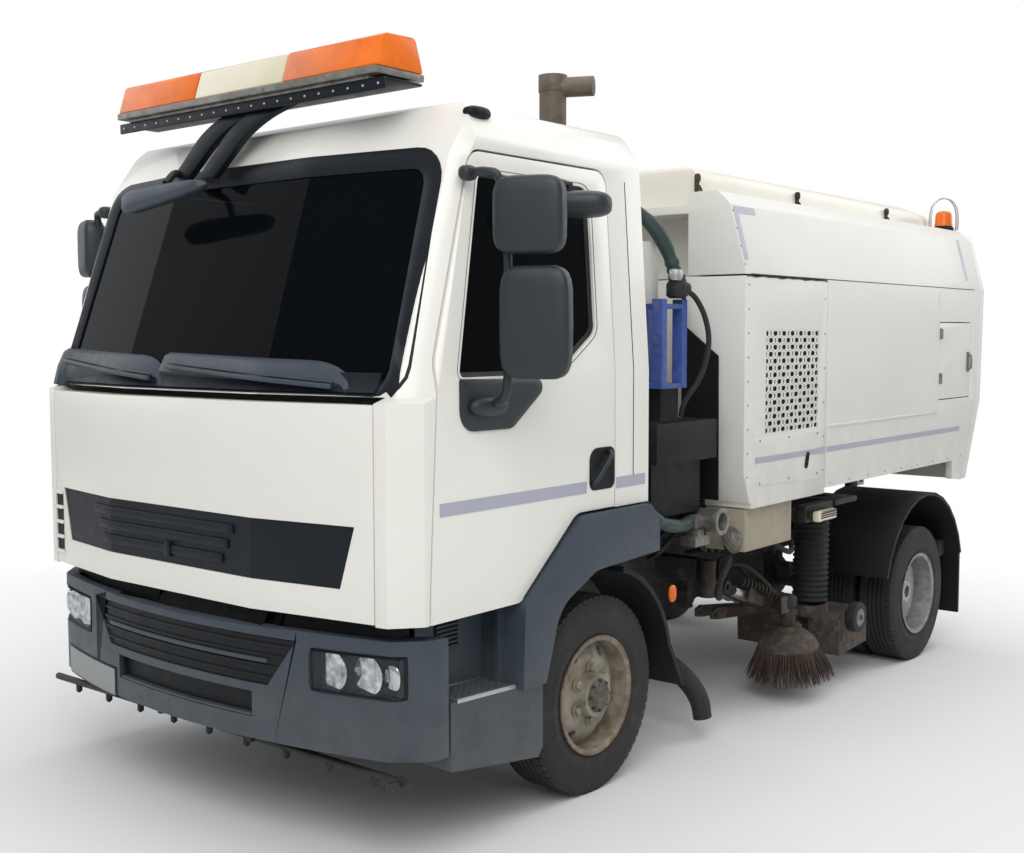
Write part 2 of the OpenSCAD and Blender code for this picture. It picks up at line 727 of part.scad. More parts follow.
module nozzle() color("#5b5148") place() {
    translate([0, nozzle_pivot_y, nozzle_pivot_z]) rotate([nozzle_tilt, 0, 0]) {
        difference() {
            block([400, 600, -310], [1000, 940, -120]);
            block([430, 630, -311], [970, 910, -150]);
            translate([hose_x, hose_y - nozzle_pivot_y, -200]) cylinder(h = 300, r = 80);
        }
        translate([hose_x, hose_y - nozzle_pivot_y - 4, -120]) difference() {
            cylinder(h = 60, r = 100);
            translate([0, 0, -1]) cylinder(h = 70, r = 80);
        }
        for (x = [510, 600]) {
            difference() {
                along_x([[-25, -20], [20, -30], [640, -130], [640, -90], [20, 30], [-25, 20]],
                    x, x + 20);
                pin_x(x - 10, x + 30, 14);
            }
        }
    }
    block([995, 2200, 250], [1012, 2330, 410]);
    translate([0, 2290, 372]) pin_x(1005, 1075, 14);
}

module nozzle_roller() color("#6c675f") place() translate([0, 2290, 372]) {
    difference() {
        pin_x(1018, 1066, 80);
        pin_x(1010, 1070, 14 + fit);
    }
}

// ---- cab ----
function leaned(rows, k) = [for (r = rows) r[0] > 2000 ? r
    : [-cab_front + (r[0] + cab_front) * k, r[1], 0]];

module cab_face(t, yaw, x, y, k) translate([x, y, 0]) rotate([0, 0, yaw])
    translate([0, cab_front, 0]) along_x(outline(inset(leaned(face_rows, k), t)), -4000, 4000);

module cab_form(t) intersection() {
    along_y(outline(inset(cab_front_rows, t)), -1400, 400);
    along_x(outline(inset(cab_side_rows, t)), -1100, 1100);
    cab_face(t, face_yaw, face_x, -cab_front, 1);
    cab_face(t, -face_yaw, -face_x, -cab_front, 1);
    cab_face(t, corner_yaw, corner_x, -1130, corner_lean);
    cab_face(t, -corner_yaw, -corner_x, -1130, corner_lean);
}

module door_prism(g) both_sides() along_x(outline(inset(door_rows, -g)), 880, 1100);

module screen_prism(t) along_y(outline(inset(screen_rows, t)), -1400, -650);

module cab_shell() color("#ecebe4") sprung() {
    difference() {
        cab_form(0);
        difference() {
            cab_form(cab_wall);
            block([-1100, -1400, 0], [1100, -960, 1600]);
        }
        // recess of the hinged front panel, with the nose behind it hollow
        block([-panel_half_w - gap, -1400, 0], [panel_half_w + gap, -1060, 1590]);
        block([-900, -1011, 950], [900, -950, 1545]);
        difference() {
            door_prism(door_gap);
            along_y(outline(inset(cab_front_rows, cab_wall + door_gap)), -1400, 400);
            block([-1007, -1300, 600], [1007, 300, 920]);
        }
        screen_prism(0);
        block([-430, 150, 1650], [430, 300, 2100]);
    }
    // tilt arms
    both_sides() difference() {
        along_x([[-tilt_y - 26, tilt_z - 26], [-tilt_y + 40, tilt_z - 26], [-880, 851],
            [-980, 851], [-tilt_y - 26, tilt_z + 30]], 315, 360);
        translate([0, -tilt_y, tilt_z]) pin_x(300, 400, tilt_pin_r + fit);
    }
}

module windscreen() color("#20262a", 0.6) sprung() {
    intersection() {
        difference() {
            cab_form(12);
            cab_form(18);
        }
        screen_prism(1);
    }
    block([-429, 230, 1651], [429, 236, 2099]);
}

module light_bar() {
    color("#3b4450") sprung() {
        block([-740, -905, 2652], [740, -712, 2690]);
        both_sides() along_x([[-960, 2500], [-900, 2500], [-800, 2652], [-870, 2652]],
            330, 380);
        both_sides() block([330, -830, 2560], [380, -780, 2652]);
    }
    color("orange") sprung() along_x(outline([[-922, 2690, 0], [-697, 2690, 0],
        [-739, 2812, 20], [-890, 2806, 20]]), -753, 753);
}

module seats() color("#3c4046") sprung() for (seat = [[-540, 240], [430, 470]]) {
    x = seat[0];
    w = seat[1];
    block([x - w, -330, 1300], [x + w, 110, 1420]);
    block([x - w, 112, 1300], [x + w, 190, 2020]);
    block([x - w + 60, -250, 1181], [x + w - 60, 60, 1300]);
}

module dashboard() color("#2e3236") sprung() {
    along_x([[-955, 1250], [-800, 1250], [-730, 1400], [-760, 1520], [-955, 1560]], -960, 960);
    translate([-540, -640, 1560]) rotate([-55, 0, 0]) {
        rotate_extrude() translate([215, 0]) circle(r = 15);
        cylinder(h = 30, r = 40);
        for (a = [0, 120, 240]) rotate([0, 0, a]) block([30, -12, 5], [205, 12, 20]);
    }
    translate([-540, -640, 1560]) rotate([-55, 0, 0]) translate([0, 0, -170])
        cylinder(h = 170, r = 28);
}

module front_panel_form(t) intersection() {
    along_x([[-1400, panel_low], [-900, panel_low], [-900, panel_top], [-1400, panel_top]],
        -panel_half_w, panel_half_w);
    cab_form(t);
}

module front_panel() color("#ecebe4") sprung() difference() {
    front_panel_form(0);
    cab_form(panel_thick);
    block([-1100, -1100, 0], [1100, 400, 3000]);
    // hole for the dark band
    along_y([[-800, 960], [800, 960], [860, 1170], [-860, 1170]], -1400, -1000);
}

module grille_band() color("#26292d") sprung() intersection() {
    along_y([[-799, 961], [799, 961], [859, 1169], [-859, 1169]], -1400, -1000);
    difference() {
        cab_form(6);
        cab_form(24);
    }
    block([-1100, -1400, 0], [1100, -1101, 3000]);
}

module door(side) color("#ecebe4") on_side(side) sprung() difference() {
    intersection() {
        along_x(outline(door_rows), 880, 1100);
        cab_form(0);
        difference() {
            block([880, -1200, 600], [1100, 200, 2600]);
            along_y(outline(inset(cab_front_rows, cab_wall)), -1400, 400);
            block([800, -1300, 500], [half_w - cab_wall, 300, 920]);
        }
    }
    along_x(outline(window_rows), 880, 1100);
}

module door_glass(side) color("#20262a", 0.5) on_side(side) sprung() intersection() {
    along_x(outline(inset(window_rows, 1)), 880, 1100);
    difference() {
        along_y(outline(inset(cab_front_rows, 20)), -1400, 400);
        along_y(outline(inset(cab_front_rows, 25)), -1400, 400);
    }
}

module mirrors(side) color("#39434d") on_side(side) sprung() {
    // post from the foot on the door to the top arm
    translate([1170, -745, 1590]) cylinder(h = 740, r = 14);
    block([half_w + 1, -775, 1560], [1190, -715, 1590]);
    block([1024, -760, 2300], [1190, -730, 2330]);
    for (head = [[1262, -742, 2053, 2301], [1272, -722, 1646, 2014]])
        translate([head[0], head[1], 0]) rotate([0, 0, 24])
            block([-112, -45, head[2]], [114, 40, head[3]]);
    // kerb mirror above the left window
    if (side > 0) {
        translate([1145, -380, 2200]) rotate([0, 0, 30]) block([-40, -110, 0], [60, 110, 110]);
        block([1023, -395, 2320], [1160, -365, 2340]);
        block([1120, -395, 2300], [1160, -365, 2330]);
    }
}

chassis_frame();
cross_members();
propshaft();
rear_springs();
engine();
front_axle();
rear_axle();
bumper();
bumper_grille();
headlamps();
spray_bar();
step(1);  // step_left
step(-1);  // step_right
mudguards();
fuel_tank();
battery_box();
exhaust_stack();
service_frame();
hoses();
engine_housing();
tool_box();
rear_bumper();
hydrant_coupling();
suction_hose();
hopper();
hood();
beacon();
rear_door();
inspection_door();
broom_bracket();
broom_arm();
broom();
nozzle();
nozzle_roller();
cab_shell();
windscreen();
light_bar();
seats();
dashboard();
front_panel();
grille_band();
door(1);  // door_left
door(-1);  // door_right
door_glass(1);  // door_glass_left
door_glass(-1);  // door_glass_right
mirrors(1);  // mirrors_left
mirrors(-1);  // mirrors_right
knuckle(1);  // knuckle_left
knuckle(-1);  // knuckle_right
front_tyre(1);  // tyre_front_left
front_tyre(-1);  // tyre_front_right
front_wheel(1);  // wheel_front_left
front_wheel(-1);  // wheel_front_right
rear_tyres(1);  // tyres_rear_left
rear_tyres(-1);  // tyres_rear_right
rear_wheels(1);  // wheels_rear_left
rear_wheels(-1);  // wheels_rear_right
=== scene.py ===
import json
import math

import bmesh
import bpy
from mathutils import Matrix, Vector
from mathutils.bvhtree import BVHTree

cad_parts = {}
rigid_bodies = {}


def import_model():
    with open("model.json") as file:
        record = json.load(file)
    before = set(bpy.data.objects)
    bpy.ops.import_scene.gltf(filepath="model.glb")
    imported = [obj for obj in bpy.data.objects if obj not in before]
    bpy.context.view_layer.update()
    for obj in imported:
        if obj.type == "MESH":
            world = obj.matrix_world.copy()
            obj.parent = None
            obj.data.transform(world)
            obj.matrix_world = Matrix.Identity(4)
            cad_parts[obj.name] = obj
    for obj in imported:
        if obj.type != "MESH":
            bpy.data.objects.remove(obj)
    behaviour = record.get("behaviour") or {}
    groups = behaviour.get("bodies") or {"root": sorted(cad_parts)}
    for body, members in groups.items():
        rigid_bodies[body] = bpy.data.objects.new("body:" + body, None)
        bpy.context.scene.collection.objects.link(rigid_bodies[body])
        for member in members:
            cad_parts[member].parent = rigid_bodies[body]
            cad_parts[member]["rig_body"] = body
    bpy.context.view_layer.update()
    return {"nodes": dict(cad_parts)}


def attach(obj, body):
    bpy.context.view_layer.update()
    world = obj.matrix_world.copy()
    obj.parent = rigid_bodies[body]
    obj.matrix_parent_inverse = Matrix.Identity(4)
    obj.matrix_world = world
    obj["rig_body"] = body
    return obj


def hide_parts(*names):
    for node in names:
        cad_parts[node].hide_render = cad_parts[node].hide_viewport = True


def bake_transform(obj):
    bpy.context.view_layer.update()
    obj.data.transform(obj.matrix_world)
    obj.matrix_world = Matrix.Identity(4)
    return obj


bl_info = {
    "name": "Street sweeper truck looks",
    "version": (1, 0, 0),
    "blender": (4, 5, 0),
    "location": "View3D > Sidebar > Sweeper",
    "description": "Dresses the packed street sweeper truck with its finished pieces and materials",
    "category": "Object",
}

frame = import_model()
nodes = frame["nodes"]

# Sizes are in millimetres. Places on the sprung body are those of a level body whose origin is
# the front axle, which then leans nose-down; places on wheels and sweep gear are level already.
RAKE = math.radians(1.77)
CENTRE_Y = 1363
AXLE_Z = 388
BODY_AXLE_Z = 385
WHEELBASE = 3150
HALF_W = 1065
FRONT_WHEEL_X = 902
REAR_OUTER_X = 935
TWIN_PITCH = 232
TYRE_W = 205
SCREEN_ROWS = [(-952, 1612, 60), (952, 1612, 60), (910, 2372, 80), (-910, 2372, 80)]
WINDOW_ROWS = [(-868, 1650, 20), (-330, 1650, 160), (-90, 1800, 60), (-90, 2338, 50),
               (-715, 2338, 40)]
BUMPER_R = 3237
BUMPER_FRONT = 1235
STRIPE_Z = (1206, 1233)


# ---- places ----
def lean(x, y, z):
    """A place on the leaning body, in metres in the frame."""
    c, s = math.cos(RAKE), math.sin(RAKE)
    up = z - BODY_AXLE_Z
    return Vector((x, y * c - up * s - CENTRE_Y, y * s + up * c + AXLE_Z)) / 1000


def level(x, y, z):
    """A place on level ground, in metres in the frame."""
    return Vector((x, y - CENTRE_Y, z)) / 1000


def lean_direction(x, y, z):
    return (lean(x, y, z) - lean(0, 0, 0)).normalized()


def unlean(p):
    """The level-body place of a point of the frame."""
    c, s = math.cos(RAKE), math.sin(RAKE)
    y, z = p.y * 1000 + CENTRE_Y, p.z * 1000 - AXLE_Z
    return Vector((p.x * 1000, y * c + z * s, z * c - y * s + BODY_AXLE_Z))


# ---- outlines ----
def rounded(rows, steps=6):
    """The outline of rows of (a, b, radius), with its corners rounded."""
    points = []
    for i, (a, b, r) in enumerate(rows):
        here = Vector((a, b))
        if r <= 0:
            points.append(here)
            continue
        u = (Vector(rows[i - 1][:2]) - here).normalized()
        v = (Vector(rows[(i + 1) % len(rows)][:2]) - here).normalized()
        half = u.angle(v) / 2
        middle = here + (u + v).normalized() * r / math.sin(half)
        start = here + u * r / math.tan(half) - middle
        end = here + v * r / math.tan(half) - middle
        first = math.atan2(start.y, start.x)
        turn = (math.atan2(end.y, end.x) - first + 3 * math.pi) % (2 * math.pi) - math.pi
        points += [middle + r * Vector((math.cos(first + turn * k / steps),
                                        math.sin(first + turn * k / steps)))
                   for k in range(steps + 1)]
    return points


def inset(rows, t):
    """Counter-clockwise rows moved inwards by t."""
    moved = []
    for i, (a, b, r) in enumerate(rows):
        here = Vector((a, b))
        u = (here - Vector(rows[i - 1][:2])).normalized()
        v = (Vector(rows[(i + 1) % len(rows)][:2]) - here).normalized()
        nu, nv = Vector((-u.y, u.x)), Vector((-v.y, v.x))
        p = here + (nu + nv) * t / (1 + nu.dot(nv))
        turn = u.x * v.y - u.y * v.x
        radius = 0 if r == 0 else max(r - t, 1) if turn > 0 else r + t
        moved.append((p.x, p.y, radius))
    return moved


def spaced(points, step):
    """A closed outline with points no further apart than step."""
    result = []
    for i, p in enumerate(points):
        q = points[(i + 1) % len(points)]
        count = max(1, math.ceil((q - p).length / step))
        result += [p.lerp(q, k / count) for k in range(count)]
    return result


def curve_through(points, per=6):
    """A smooth line through points, as a list of points."""
    pts = [Vector(p) for p in points]
    pts = [pts[0] * 2 - pts[1]] + pts + [pts[-1] * 2 - pts[-2]]
    line = []
    for a, b, c, d in zip(pts, pts[1:], pts[2:], pts[3:]):
        for k in range(per):
            t = k / per
            line.append(0.5 * (2 * b + (c - a) * t + (2 * a - 5 * b + 4 * c - d) * t * t
                               + (3 * b - a - 3 * c + d) * t ** 3))
    return line + [pts[-2]]


# ---- mesh building ----
def loft(bm, rings, caps=True):
    """Faces between like rings of points, and over the first and last."""
    loops = [[bm.verts.new(p) for p in ring] for ring in rings]
    n = len(loops[0])
    made = []
    for a, b in zip(loops, loops[1:]):
        for k in range(n):
            made.append(bm.faces.new((a[k], a[(k + 1) % n], b[(k + 1) % n], b[k])))
    if caps:
        made.append(bm.faces.new(loops[0][::-1]))
        made.append(bm.faces.new(loops[-1]))
    return made


def prism(bm, place, axis, outline, low, high):
    """An outline swept along one axis: its points are the other two coordinates in order."""
    def point(p, t):
        a, b = p[0], p[1]
        return place(*{"x": (t, a, b), "y": (a, t, b), "z": (a, b, t)}[axis])
    return loft(bm, [[point(p, t) for p in outline] for t in (low, high)])


def box(bm, place, low, high):
    outline = [(low[0], low[1]), (high[0], low[1]), (high[0], high[1]), (low[0], high[1])]
    return prism(bm, place, "z", outline, low[2], high[2])


def tube(bm, place, route, radius, sides=12, per=6, wave=0, pitch=1):
    """A round tube along a smooth route; wave makes it ribbed, one rib each pitch."""
    line = [place(*p) for p in (curve_through(route, per) if per > 1 else map(Vector, route))]
    tangents = [(line[min(i + 1, len(line) - 1)] - line[max(i - 1, 0)]).normalized()
                for i in range(len(line))]
    side = tangents[0].orthogonal().normalized()
    rings, along = [], 0
    for i, (p, t) in enumerate(zip(line, tangents)):
        if i:
            along += (p - line[i - 1]).length * 1000
        side = (side - t * side.dot(t)).normalized()
        up = t.cross(side)
        r = (radius + wave * math.cos(2 * math.pi * along / pitch)) / 1000
        rings.append([p + r * (side * math.cos(2 * math.pi * k / sides)
                               + up * math.sin(2 * math.pi * k / sides))
                      for k in range(sides)])
    return loft(bm, rings)


def lathe(bm, place, centre, axis, profile, steps=48, closed=False):
    """A profile of (radius, distance along the axis) turned about an axis through centre."""
    origin = place(*centre)
    d = (place(*(Vector(centre) + Vector(axis))) - origin).normalized()
    side = d.orthogonal().normalized()
    up = d.cross(side)
    spokes = [side * math.cos(2 * math.pi * k / steps) + up * math.sin(2 * math.pi * k / steps)
              for k in range(steps)]
    rings = [[origin + (d * along + spoke * max(r, 0.01)) / 1000 for spoke in spokes]
             for r, along in profile]
    if closed:
        rings.append(rings[0])
    return loft(bm, rings, caps=not closed)


def superegg(bm, place, centre, half, turn=0, power=4.0):
    """A box-like closed form with soft edges, turned about the vertical."""
    def signed(v, e):
        return math.copysign(abs(v) ** e, v)
    e = 2 / power
    c, s = math.cos(turn), math.sin(turn)
    rows, columns = 12, 32
    loops = []
    for i in range(1, rows):
        v = -math.pi / 2 + math.pi * i / rows
        loops.append([])
        for k in range(columns):
            u = 2 * math.pi * k / columns
            x = half[0] * signed(math.cos(v), e) * signed(math.cos(u), e)
            y = half[1] * signed(math.cos(v), e) * signed(math.sin(u), e)
            z = half[2] * signed(math.sin(v), e)
            loops[-1].append(place(centre[0] + x * c - y * s, centre[1] + x * s + y * c,
                                   centre[2] + z))
    return loft(bm, loops)


class Surface:
    """The outside of CAD nodes, to lay strips and marks on."""

    def __init__(self, *names):
        verts, faces = [], []
        for name in names:
            start = len(verts)
            mesh = nodes[name].data
            verts += [v.co.copy() for v in mesh.vertices]
            faces += [[start + i for i in p.vertices] for p in mesh.polygons]
        self.tree = BVHTree.FromPolygons(verts, faces)

    def cast(self, origin, direction, lift):
        hit = self.tree.ray_cast(origin, direction)
        if hit[0] is None:
            return None
        return hit[0] - direction * lift / 1000

    def from_front(self, x, z, lift=1.0):
        """The front-most point at x and z of the level body, lifted off it."""
        hit = self.cast(lean(x, -1500, z), lean_direction(0, 1, 0), lift)
        return hit or lean(x, -900, z)

    def from_side(self, y, z, lift=1.0, side=1):
        """The outermost point at y and z of the level body, lifted off it."""
        hit = self.cast(lean(side * 1500, y, z), Vector((-side, 0, 0)), lift)
        return hit or lean(side * HALF_W, y, z)


def patch(bm, lay, a_range, b_range, steps, lifts=(1.2, -1.5)):
    """A thin sheet over a rectangle of a surface, closed behind."""
    na, nb = steps
    front = [[lay(a_range[0] + (a_range[1] - a_range[0]) * i / na,
                  b_range[0] + (b_range[1] - b_range[0]) * j / nb, lifts[0])
              for j in range(nb + 1)] for i in range(na + 1)]
    back = [[lay(a_range[0] + (a_range[1] - a_range[0]) * i / na,
                 b_range[0] + (b_range[1] - b_range[0]) * j / nb, lifts[1])
             for j in range(nb + 1)] for i in range(na + 1)]
    rings = [f + b[::-1] for f, b in zip(front, back)]
    return loft(bm, rings)


def seal(bm, lay, rows, outer, inner, lifts):
    """A rubber strip round an opening: rows moved out and in, over both surfaces."""
    n = 160
    def loop(t, lift):
        points = spaced(rounded(inset(rows, t), 8), 60)
        total = sum((points[(i + 1) % len(points)] - p).length for i, p in enumerate(points))
        result, walked, i = [], 0.0, 0
        for k in range(n):
            target = total * k / n
            while True:
                length = (points[(i + 1) % len(points)] - points[i]).length
                if walked + length >= target or i >= len(points) - 1:
                    break
                walked += length
                i += 1
            result.append(points[i].lerp(points[(i + 1) % len(points)],
                                         min(1, (target - walked) / max(length, 1e-6))))
        return [lay(p.x, p.y, lift) for p in result]
    mid = (outer + inner) / 2
    rings = [loop(outer, -2), loop(outer, lifts[0]), loop(mid, lifts[1]),
             loop(inner, lifts[2]), loop(inner, -3)]
    rings.append(rings[0])
    return loft(bm, rings, caps=False)


def finished(name, bm, body, materials, bevel=0, angle=32, segments=2, replaces=(),
             shade=35, merge=False):
    """Makes a built mesh a piece that rides on a body."""
    if merge:
        bmesh.ops.remove_doubles(bm, verts=bm.verts, dist=2e-5)
        bmesh.ops.dissolve_limit(bm, angle_limit=math.radians(0.6), verts=bm.verts,
                                 edges=bm.edges)
    else:
        bmesh.ops.recalc_face_normals(bm, faces=bm.faces)
    mesh = bpy.data.meshes.new(name)
    bm.to_mesh(mesh)
    bm.free()
    for attribute in ("custom_normal", "sharp_face", "sharp_edge"):
        if attribute in mesh.attributes:
            mesh.attributes.remove(mesh.attributes[attribute])
    obj = bpy.data.objects.new(name, mesh)
    bpy.context.scene.collection.objects.link(obj)
    for m in materials:
        mesh.materials.append(m)
    if bevel:
        mod = obj.modifiers.new("edges", "BEVEL")
        mod.width = bevel / 1000
        mod.segments = segments
        mod.limit_method = "ANGLE"
        mod.angle_limit = math.radians(angle)
        mod.use_clamp_overlap = True
        apply_modifiers(obj)
    obj.data.shade_smooth()
    obj.data.set_sharp_from_angle(angle=math.radians(shade))
    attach(obj, body)
    if replaces:
        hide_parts(*replaces)
    return obj


def apply_modifiers(obj):
    """Turns an object's modifiers into plain mesh."""
    obj.update_tag()
    bpy.context.view_layer.update()
    depsgraph = bpy.context.evaluated_depsgraph_get()
    mesh = bpy.data.meshes.new_from_object(obj.evaluated_get(depsgraph))
    obj.modifiers.clear()
    obj.data = mesh


def dressed(node, name, materials, bevel, angle=32, segments=3):
    """A CAD node's own form with its sharp edges rounded, in place of the node."""
    bm = bmesh.new()
    bm.from_mesh(nodes[node].data)
    body = nodes[node]["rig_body"]
    return finished(name, bm, body, materials, bevel, angle, segments, (node,),
                    merge=True)


def coloured(node, name, materials, choose, bevel):
    """A dressed CAD node whose faces take their finish by place in the level body."""
    piece = dressed(node, name, materials, bevel)
    for face in piece.data.polygons:
        face.material_index = choose(unlean(face.center))
    return piece


def paint(node, material):
    """Gives a CAD node that is shown as it is its finish."""
    mesh = nodes[node].data
    mesh.materials.clear()
    mesh.materials.append(material)


# ---- repeats, as geometry nodes ----
def new_tree(name, inputs):
    """A geometry tree with named inputs of (name, socket type, default)."""
    tree = bpy.data.node_groups.new(name, "GeometryNodeTree")
    tree.interface.new_socket(name="Geometry", in_out="INPUT",
                              socket_type="NodeSocketGeometry")
    for label, kind, default in inputs:
        item = tree.interface.new_socket(name=label, in_out="INPUT", socket_type=kind)
        if default is not None:
            item.default_value = default
    tree.interface.new_socket(name="Geometry", in_out="OUTPUT",
                              socket_type="NodeSocketGeometry")
    return tree, tree.nodes.new("NodeGroupInput"), tree.nodes.new("NodeGroupOutput")


def close_tree(tree, entry, out, socket):
    """Ends a tree in Realize Instances and Set Material."""
    realize = tree.nodes.new("GeometryNodeRealizeInstances")
    colour = tree.nodes.new("GeometryNodeSetMaterial")
    tree.links.new(socket, realize.inputs[0])
    tree.links.new(realize.outputs[0], colour.inputs["Geometry"])
    tree.links.new(entry.outputs["Finish"], colour.inputs["Material"])
    tree.links.new(colour.outputs[0], out.inputs[0])
    return tree


def add(tree, kind, links=(), inputs=(), **properties):
    """A node of a tree, with the sockets that feed it, its input values and its properties."""
    node = tree.nodes.new(kind)
    for key, value in properties.items():
        setattr(node, key, value)
    for key, value in dict(inputs).items():
        node.inputs[key].default_value = value
    for key, socket in dict(links).items():
        tree.links.new(socket, node.inputs[key])
    return node


def ring_tree():
    """Repeats a piece round an axis along X: Count copies about the point Centre."""
    tree, entry, out = new_tree("repeat_round_axle", [
        ("Count", "NodeSocketInt", 6), ("Centre", "NodeSocketVector", None),
        ("Finish", "NodeSocketMaterial", None)])
    given = entry.outputs
    points = add(tree, "GeometryNodeMeshLine",
                 {"Count": given["Count"], "Start Location": given["Centre"]},
                 {"Offset": (0, 0, 0)})
    index = add(tree, "GeometryNodeInputIndex")
    full = add(tree, "ShaderNodeMath", {0: index.outputs[0]}, {1: 2 * math.pi},
               operation="MULTIPLY")
    share = add(tree, "ShaderNodeMath", {0: full.outputs[0], 1: given["Count"]},
                operation="DIVIDE")
    turn = add(tree, "ShaderNodeCombineXYZ", {"X": share.outputs[0]})
    minus = add(tree, "ShaderNodeVectorMath", {0: given["Centre"]}, {"Scale": -1},
                operation="SCALE")
    back = add(tree, "GeometryNodeTransform",
               {"Translation": minus.outputs[0], "Geometry": given["Geometry"]})
    place = add(tree, "GeometryNodeInstanceOnPoints",
                {"Points": points.outputs[0], "Instance": back.outputs[0],
                 "Rotation": turn.outputs[0]})
    return close_tree(tree, entry, out, place.outputs[0])


def grid_tree():
    """Repeats a piece in rows and columns: Step apart along two directions."""
    tree, entry, out = new_tree("repeat_in_rows", [
        ("Columns", "NodeSocketInt", 2), ("Rows", "NodeSocketInt", 1),
        ("Column Step", "NodeSocketVector", None), ("Row Step", "NodeSocketVector", None),
        ("Finish", "NodeSocketMaterial", None)])
    geometry = entry.outputs["Geometry"]
    for count, step in (("Columns", "Column Step"), ("Rows", "Row Step")):
        line = add(tree, "GeometryNodeMeshLine",
                   {"Count": entry.outputs[count], "Offset": entry.outputs[step]},
                   {"Start Location": (0, 0, 0)})
        place = add(tree, "GeometryNodeInstanceOnPoints",
                    {"Points": line.outputs[0], "Instance": geometry})
        geometry = add(tree, "GeometryNodeRealizeInstances", {0: place.outputs[0]}).outputs[0]
    return close_tree(tree, entry, out, geometry)


def on_aims(tree, entry, out, piece, aim, links=()):
    """Ends a tree with a piece on every point, its Z axis along the aim."""
    align = add(tree, "FunctionNodeAlignEulerToVector", {"Vector": aim}, axis="Z")
    place = add(tree, "GeometryNodeInstanceOnPoints",
                {"Points": entry.outputs["Geometry"], "Instance": piece.outputs[0],
                 "Rotation": align.outputs[0], **dict(links)})
    return close_tree(tree, entry, out, place.outputs[0])


def aim_of(tree):
    """The aim attribute of a tree's points."""
    return add(tree, "GeometryNodeInputNamedAttribute", inputs={"Name": "aim"},
               data_type="FLOAT_VECTOR").outputs[0]


def stud_tree():
    """Puts a domed head on every point of a mesh, facing its aim attribute."""
    tree, entry, out = new_tree("heads_on_points", [
        ("Radius", "NodeSocketFloat", 0.006), ("Height", "NodeSocketFloat", 0.003),
        ("Sides", "NodeSocketInt", 8), ("Finish", "NodeSocketMaterial", None)])
    given = entry.outputs
    ball = add(tree, "GeometryNodeMeshUVSphere", {"Segments": given["Sides"]},
               {"Rings": 6, "Radius": 1})
    size = add(tree, "ShaderNodeCombineXYZ",
               {"X": given["Radius"], "Y": given["Radius"], "Z": given["Height"]})
    return on_aims(tree, entry, out, ball, aim_of(tree), {"Scale": size.outputs[0]})


def bristle_tree():
    """Stands a tapered bristle on every point of a mesh, facing its aim with a little scatter."""
    tree, entry, out = new_tree("bristles", [
        ("Length", "NodeSocketFloat", 0.2), ("Thickness", "NodeSocketFloat", 0.003),
        ("Scatter", "NodeSocketFloat", 0.1), ("Seed", "NodeSocketInt", 5),
        ("Finish", "NodeSocketMaterial", None)])
    given = entry.outputs
    cone = add(tree, "GeometryNodeMeshCone",
               {"Depth": given["Length"], "Radius Bottom": given["Thickness"]},
               {"Vertices": 4, "Radius Top": 0.0008})
    chance = add(tree, "FunctionNodeRandomValue", {"Seed": given["Seed"]},
                 data_type="FLOAT_VECTOR")
    chance.inputs["Min"].default_value = (-1, -1, -1)
    chance.inputs["Max"].default_value = (1, 1, 1)
    small = add(tree, "ShaderNodeVectorMath",
                {0: chance.outputs["Value"], "Scale": given["Scatter"]}, operation="SCALE")
    total = add(tree, "ShaderNodeVectorMath", {0: aim_of(tree), 1: small.outputs[0]})
    return on_aims(tree, entry, out, cone, total.outputs[0])


TREES = {}


def grown(name, bm, body, tree, values, aims=None):
    """A piece whose mesh a geometry tree makes from the built one."""
    mesh = bpy.data.meshes.new(name)
    if bm.faces:
        bmesh.ops.recalc_face_normals(bm, faces=bm.faces)
    bm.to_mesh(mesh)
    bm.free()
    if aims:
        attribute = mesh.attributes.new("aim", "FLOAT_VECTOR", "POINT")
        attribute.data.foreach_set("vector", [c for a in aims for c in a])
    obj = bpy.data.objects.new(name, mesh)
    bpy.context.scene.collection.objects.link(obj)
    mod = obj.modifiers.new("repeat", "NODES")
    if tree not in TREES:
        TREES[tree] = tree()
    mod.node_group = TREES[tree]
    for item in TREES[tree].interface.items_tree:
        if item.in_out == "INPUT" and item.name in values:
            mod[item.identifier] = values[item.name]
    apply_modifiers(obj)
    obj.data.shade_smooth()
    obj.data.set_sharp_from_angle(angle=math.radians(35))
    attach(obj, body)
    return obj


def heads(name, body, places, material, radius=5, height=3, sides=8):
    """Rivet or screw heads at places of (point, direction)."""
    bm = bmesh.new()
    for p, _ in places:
        bm.verts.new(p)
    return grown(name, bm, body, stud_tree, {
        "Radius": radius / 1000, "Height": height / 1000, "Sides": sides,
        "Finish": material}, aims=[a for _, a in places])


